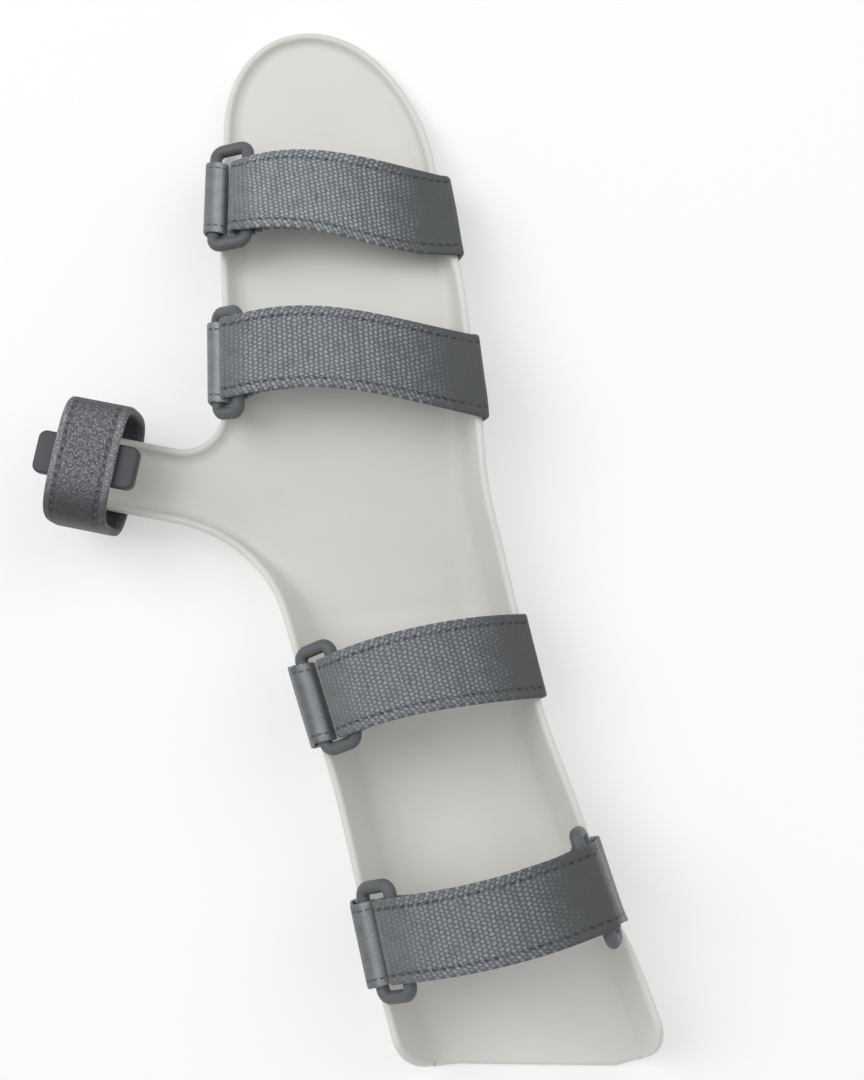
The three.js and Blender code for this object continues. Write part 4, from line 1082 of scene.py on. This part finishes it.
def ribbon(paths, thick, length, start):
    """Closed band about a grid of middle lines: two faces half the thickness either way along the
    grid's normals, half-round long edges, and thinned, closed ends. UV is millimetres along and across."""
    rows, stops = paths.shape[:2]
    half = thick / 2
    along_way = np.gradient(paths, axis=1)
    across_way = np.gradient(paths, axis=0)
    normal = unit(np.cross(along_way, across_way))
    wide = mean_width(paths)
    thin = np.ones(stops)
    thin[[0, -1]] = 0.45
    thin[[1, -2]] = 0.9
    lift = normal * (half * thin)[None, :, None]
    low_out, high_out = -unit(across_way[0]), unit(across_way[-1])
    body = paths.copy()
    body[0] -= low_out * half
    body[-1] -= high_out * half
    angle = np.pi * np.arange(1, EDGE_PARTS) / EDGE_PARTS

    def edge_round(middle, out, up, way):
        turned = angle if way > 0 else angle[::-1]
        return (middle[None] + out[None] * half * np.sin(turned)[:, None, None]
                + up[None] * np.cos(turned)[:, None, None])

    loop = np.concatenate([
        body + lift, edge_round(body[-1], high_out, lift[-1], 1),
        (body - lift)[::-1], edge_round(body[0], low_out, lift[0], -1)])
    v = np.linspace(-wide / 2, wide / 2, rows)
    side = np.full(EDGE_PARTS - 1, wide / 2)
    v = np.concatenate([v, side, v[::-1], -side])
    around = len(loop)
    index = numbered(around, stops)
    grid = np.concatenate([index, index[:1]])
    faces = quads(grid)
    uv = np.stack(np.broadcast_arrays((length - start)[None], v[:, None]), -1).reshape(-1, 2)
    caps = []
    far_side = rows + EDGE_PARTS - 1
    top = np.arange(rows)
    bottom = far_side + (rows - 1 - top)
    for stop, flip in ((0, False), (stops - 1, True)):
        pairs = [np.column_stack([top[:-1], top[1:], bottom[1:], bottom[:-1]])]
        for a, b, first, last in ((rows, rows + EDGE_PARTS - 2, rows - 1, far_side),
                                  (around - EDGE_PARTS + 1, around - 1, around - EDGE_PARTS, 0)):
            pairs.append(np.array([[first, a, b, last], [a, a + 1, b, b]]))
        cap = index[np.concatenate(pairs), stop]
        caps.append(cap[:, ::-1] if flip else cap)
    faces = np.concatenate([faces, *caps])
    return loop.reshape(-1, 3), faces, uv[faces]


# Each strap's brightness (painted light and shade: one webbing made lighter or darker for how each strap is
# lit), contrast of its weave, and how far from the fold the weave comes up
STRAP_LOOKS = {
    "forearm": (0.88, 0.85, 18),
    "wrist": (0.93, 0.85, 15),
    "hand": (1.0, 0.95, 9),
    "fingers": (1.1, 1.0, 7),
}


def make_strap(strap):
    paths, length, fold = strap_paths(strap)
    points, faces, corners = ribbon(paths, STRAP_THICK, length, fold)
    # The first value is painted light and shade: this strap's brightness for how it is lit.
    gain, contrast, fold_reach = STRAP_LOOKS[strap["name"]]
    wide = mean_width(paths)
    span = length[np.searchsorted(length, fold) + ARCH_STEPS] - fold
    low, high = (122 + contrast * step for step in (-36, 44))
    finish = webbing(f"{strap['name']} strap webbing", wide, span, fold_reach,
                     tone(low, low + 3, low + 5, gain), tone(high, high + 6, high + 12, gain))
    piece = make_piece(f"webbing_{strap['name']}", points, faces, finish, corners, sharp=50)
    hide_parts(f"strap_{strap['name']}")


def make_ring(strap, side, name):
    """Closed tube round a rounded rectangle; its section is a circle square to the middle line."""
    ring = ring_frame(strap, side)
    middle = (ring["outer"] + ring["inner"]) / 2
    half_long = (ring["length"] - BAR) / 2 - RING_CORNER
    half_short = BAR_SPACING / 2 - RING_CORNER
    steps = np.linspace(0, 1, 11)
    quarter = np.arange(4)[:, None]
    angle = (quarter + steps[None]) * math.pi / 2
    long_sign = np.where((quarter == 0) | (quarter == 3), 1, -1)
    short_sign = np.where(quarter < 2, 1, -1)
    a = (long_sign * half_long + RING_CORNER * np.cos(angle)).ravel()
    b = (short_sign * half_short + RING_CORNER * np.sin(angle)).ravel()
    centres = middle + np.multiply.outer(a, ring["long"]) + np.multiply.outer(b, ring["short"])
    out = np.multiply.outer(np.cos(angle).ravel(), ring["long"]) + np.multiply.outer(
        np.sin(angle).ravel(), ring["short"])
    plane = np.cross(ring["long"], ring["short"])
    turn = 2 * np.pi * np.arange(20) / 20
    tube = (centres[:, None] + BAR / 2 * (np.cos(turn)[None, :, None] * out[:, None]
                                          + np.sin(turn)[None, :, None] * plane))
    faces = quads(closed_grid(*tube.shape[:2]))
    piece = make_piece(f"strap_ring_{name}", tube.reshape(-1, 3), faces, ring_finish)
    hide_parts(f"ring_{name}")


def relax(paths, rounds=6):
    """Even out corners: points at equal lengths, each moved to a quarter, half and quarter mean of
    itself and its neighbours."""
    longest = np.linalg.norm(np.diff(paths, axis=1), axis=2).sum(1)
    step = np.linspace(0, 1, CHAPE_STOPS)
    even = np.concatenate([resample(paths[k:k + 1], step * longest[k]) for k in range(len(paths))])
    for _ in range(rounds):
        even[:, 1:-1] = (even[:, :-2] + 2 * even[:, 1:-1] + even[:, 2:]) / 4
    return even


# Each chape's brightness: painted light and shade, one leather made lighter or darker for how each chape is
# lit
CHAPE_PAINTED_LIGHT = {"forearm": 0.92, "wrist": 0.74, "hand": 1.25, "fingers": 0.97}


def make_chape(strap, side, name):
    """From the wall's outside up round the outer bar and back down between its first run and the wall."""
    ring = ring_frame(strap, side)
    outside = np.broadcast_to(-ring["inward"], (STRAP_ROWS + 1, 3))
    up = np.broadcast_to(UP, outside.shape)
    inner = GAP + CHAPE_THICK / 2
    outer = inner + GAP + CHAPE_THICK
    edge = ring["rows"][side]
    centre = bar_points(strap, ring, ring["outer"]) + outside * ring["slack"]
    fold = oval(centre, outside, up, CHAPE_WIDE, CHAPE_HIGH, np.pi * np.linspace(-0.12, 1.5, 37))
    normal, along = edge.axes()
    rim_centre = edge.rim() - normal * SHELL_WALL / 2

    def round_rim(off, turns):
        return oval(rim_centre, normal, along, SHELL_WALL / 2 + off, SHELL_WALL / 2 + off, np.radians(turns))

    paths = np.concatenate([
        tail_run(strap, edge, CHAPE_TAIL, outer)[:, ::-1], round_rim(outer, [10, 20, 30, 40]), fold,
        round_rim(inner, [50, 40, 30, 20, 10]), tail_run(strap, edge, CHAPE_TAIL, inner)], axis=1)
    paths = relax(paths)
    middle = paths[STRAP_ROWS // 2]
    length = run_length(middle)
    points, faces, corners = ribbon(paths, CHAPE_THICK, length, 0)
    wide = mean_width(paths)
    crest = length[np.argmax(middle[:, 2])]
    # Painted light and shade: this chape's brightness for how it is lit.
    gain = CHAPE_PAINTED_LIGHT[strap["name"]]
    finish = leather(f"{name} chape leather", wide, crest, tone(78, 81, 82, gain), tone(166, 171, 174, gain))
    piece = make_piece(f"folded_chape_{name}", points, faces, finish, corners, sharp=50)
    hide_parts(f"chape_{name}")


# Thumb loop and plate

def oval_points(half_wide, half_high, count):
    """Superellipse: each half size times the signed cosine or sine to the power 2/p."""
    angle = 2 * np.pi * np.arange(count) / count
    c, s = np.cos(angle), np.sin(angle)
    return np.stack([half_wide * np.sign(c) * np.abs(c) ** (2 / OVAL_POWER),
                     half_high * np.sign(s) * np.abs(s) ** (2 / OVAL_POWER)], -1)


loop_bottom = TONGUE_LEVEL - GAP - OVAL_DROP - LOOP_WALL


def make_thumb_strap():
    """A rounded rectangle, loop width by wall, swept round the superellipse along its normals."""
    raw = oval_points(LOOP_SPAN / 2, LOOP_HEIGHT / 2, 960)
    step = np.linalg.norm(np.roll(raw, -1, axis=0) - raw, axis=1)
    length = np.concatenate([[0], np.cumsum(step)])
    goals = np.linspace(0, length[-1], 241)[:-1]
    closed = np.concatenate([raw, raw[:1]])
    ring = np.stack([np.interp(goals, length, closed[:, k]) for k in (0, 1)], -1)
    travel = unit(np.roll(ring, -1, axis=0) - np.roll(ring, 1, axis=0))
    out = np.stack([travel[:, 1], -travel[:, 0]], -1)
    corner = 1.25
    half_wide = LOOP_WIDTH / 2
    quarter = np.radians(np.linspace(0, 90, 6))
    run = np.linspace(-1, 1, 13)[1:-1] * (half_wide - corner)
    high_corner = np.stack([half_wide - corner + corner * np.sin(quarter),
                            -corner + corner * np.cos(quarter)], -1)
    low_corner = np.stack([half_wide - corner + corner * np.cos(quarter),
                           corner - LOOP_WALL - corner * np.sin(quarter)], -1)
    right_half = np.concatenate([high_corner, low_corner])
    left_half = right_half[::-1] * [-1, 1]
    section = np.concatenate([
        np.column_stack([run, np.zeros_like(run)]), right_half,
        np.column_stack([run[::-1], np.full_like(run, -LOOP_WALL)]), left_half])
    across = np.array([tongue_across[0], tongue_across[1], 0.0])
    along = np.array([tongue_out[0], tongue_out[1], 0.0])
    centre = np.array([loop_centre[0], loop_centre[1], loop_bottom + LOOP_HEIGHT / 2])
    depth = section[None, :, 1:2] * out[:, None]
    spot = ring[:, None] + depth
    points = (centre + spot[..., :1] * across + spot[..., 1:] * UP
              + section[None, :, :1] * along)
    faces = quads(closed_grid(*points.shape[:2]))
    u = np.append(goals, length[-1])[:, None]
    v = np.append(section[:, 0], section[0, 0])[None]
    uv = np.stack(np.broadcast_arrays(u, v), -1)
    corners = uv.reshape(-1, 2)[quads(numbered(*uv.shape[:2]))]
    piece = make_piece("thumb_loop", points.reshape(-1, 3), faces, pebble_finish, corners)
    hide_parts("thumb_strap")


# How far inside the plate's outline its flat faces' outermost ring of points lies
FACE_INSET = 3.2


def make_thumb_plate():
    """Rounded rectangle drawn in by a quarter round at its top and bottom edges."""
    bevel = 1.0
    quarter = np.radians(np.linspace(0, 90, 7))
    corner_angle = np.radians(np.concatenate([np.linspace(k, k + 90, 9) for k in (0, 90, 180, 270)]))
    corner_middle = np.radians(np.repeat([45, 135, 225, 315], 9))
    sign_x, sign_y = np.sign(np.cos(corner_middle)), np.sign(np.sin(corner_middle))
    level = np.concatenate([[0], bevel * (1 - np.cos(quarter)), PLATE_THICK - bevel * (1 - np.sin(quarter)),
                            [PLATE_THICK]])
    inset = np.concatenate([
        [FACE_INSET], bevel - bevel * np.sin(quarter), bevel - bevel * np.cos(quarter), [FACE_INSET]])
    radius = np.maximum(PLATE_ROUND - inset, 0.05)[:, None]
    x = sign_x * (PLATE_LENGTH / 2 - PLATE_ROUND) - sign_x * np.maximum(inset - PLATE_ROUND, 0)[:, None]
    y = sign_y * (PLATE_WIDTH / 2 - PLATE_ROUND) - sign_y * np.maximum(inset - PLATE_ROUND, 0)[:, None]
    x = x + radius * np.cos(corner_angle)
    y = y + radius * np.sin(corner_angle)
    turn = math.pi - TONGUE_ANGLE
    top = loop_bottom + LOOP_HEIGHT - LOOP_WALL - GAP - OVAL_DROP
    z = np.broadcast_to((level + top - PLATE_THICK)[:, None], x.shape)
    points = np.stack([loop_centre[0] + x * math.cos(turn) - y * math.sin(turn),
                       loop_centre[1] + x * math.sin(turn) + y * math.cos(turn), z], -1)
    count, parts = points.shape[:2]
    grid = wrapped(numbered(count, parts))
    ends = points[[0, -1]].mean(axis=1)
    poles = count * parts + np.arange(2)
    low = np.column_stack([grid[0, :-1], grid[0, 1:], np.full(parts, poles[0]), np.full(parts, poles[0])])
    high = np.column_stack([grid[-1, 1:], grid[-1, :-1], np.full(parts, poles[1]), np.full(parts, poles[1])])
    faces = np.concatenate([quads(grid)[:, ::-1], low[:, [1, 0, 2, 3]], high[:, [1, 0, 2, 3]]])
    piece = make_piece("thumb_rest_plate", np.concatenate([points.reshape(-1, 3), ends]), faces, plate_finish)
    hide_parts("thumb_plate")


make_shell()
for strap in STRAPS:
    make_strap(strap)
    for side in strap["rings"]:
        name = strap["name"] if side == "left" else f"{strap['name']}_ulnar"
        make_ring(strap, side, name)
        make_chape(strap, side, name)
make_thumb_strap()
make_thumb_plate()


# Floor, light and camera

def make_floor():
    mesh = bpy.data.meshes.new("floor")
    reach = 30.0
    mesh.from_pydata([(-reach, -reach, 0), (reach, -reach, 0), (reach, reach, 0), (-reach, reach, 0)], [],
                     [(0, 1, 2, 3)])
    finish = Finish("pale floor", {"Roughness": 0.9, "Base Color": (0.6, 0.6, 0.6, 1),
                                   "Emission Color": (1, 1, 1, 1), "Emission Strength": 0.36})
    mesh.materials.append(finish.material)
    floor = bpy.data.objects.new("floor", mesh)
    bpy.context.scene.collection.objects.link(floor)


LIGHT_TARGET = np.array([0, 0.1, 0])
CAMERA_TARGET = np.array([19.5, 95, 10])
CAMERA_REACH = 640
CAMERA_RISE = math.radians(82)
CAMERA_ROLL = math.radians(16.7)


def add_light(name, place, size, power):
    lamp = bpy.data.lights.new(name, "AREA")
    lamp.size = size
    lamp.energy = power
    light = bpy.data.objects.new(name, lamp)
    back = unit(np.array(place) - LIGHT_TARGET)
    side = unit(np.cross(UP, back))
    light.matrix_world = Matrix([
        [*row, p] for row, p in zip(np.column_stack([side, np.cross(back, side), back]).tolist(), place)
    ] + [[0, 0, 0, 1]])
    bpy.context.scene.collection.objects.link(light)


def make_camera():
    """Camera at its reach from the target, raised and rolled by its two angles."""
    ahead = np.array([0, math.cos(CAMERA_RISE), -math.sin(CAMERA_RISE)])
    place = (CAMERA_TARGET - CAMERA_REACH * ahead) * 0.001
    right = np.array([1.0, 0, 0])
    upward = np.array([0, math.sin(CAMERA_RISE), math.cos(CAMERA_RISE)])
    across = right * math.cos(CAMERA_ROLL) - upward * math.sin(CAMERA_ROLL)
    high = upward * math.cos(CAMERA_ROLL) + right * math.sin(CAMERA_ROLL)
    data = bpy.data.cameras.new("photo angle")
    data.lens = 56
    data.sensor_width = 36
    data.sensor_fit = "AUTO"
    camera = bpy.data.objects.new("photo angle", data)
    rows = np.column_stack([across, high, -ahead, place]).tolist()
    camera.matrix_world = Matrix(rows + [[0, 0, 0, 1]])
    bpy.context.scene.collection.objects.link(camera)
    bpy.context.scene.camera = camera


make_floor()
add_light("key", (-1.4, 1.2, 2.15), 1.9, 33)
add_light("overhead", (-0.3, 0.3, 2.4), 1.6, 9)
add_light("fill", (1.5, 0.4, 1.5), 1.8, 11)
make_camera()
world = bpy.data.worlds.new("studio")
world.use_nodes = True
backdrop = world.node_tree.nodes["Background"].inputs
backdrop["Color"].default_value = (1.0, 1.0, 1.0, 1)
backdrop["Strength"].default_value = 0.46
bpy.context.scene.world = world
bpy.context.scene.view_settings.view_transform = "Standard"
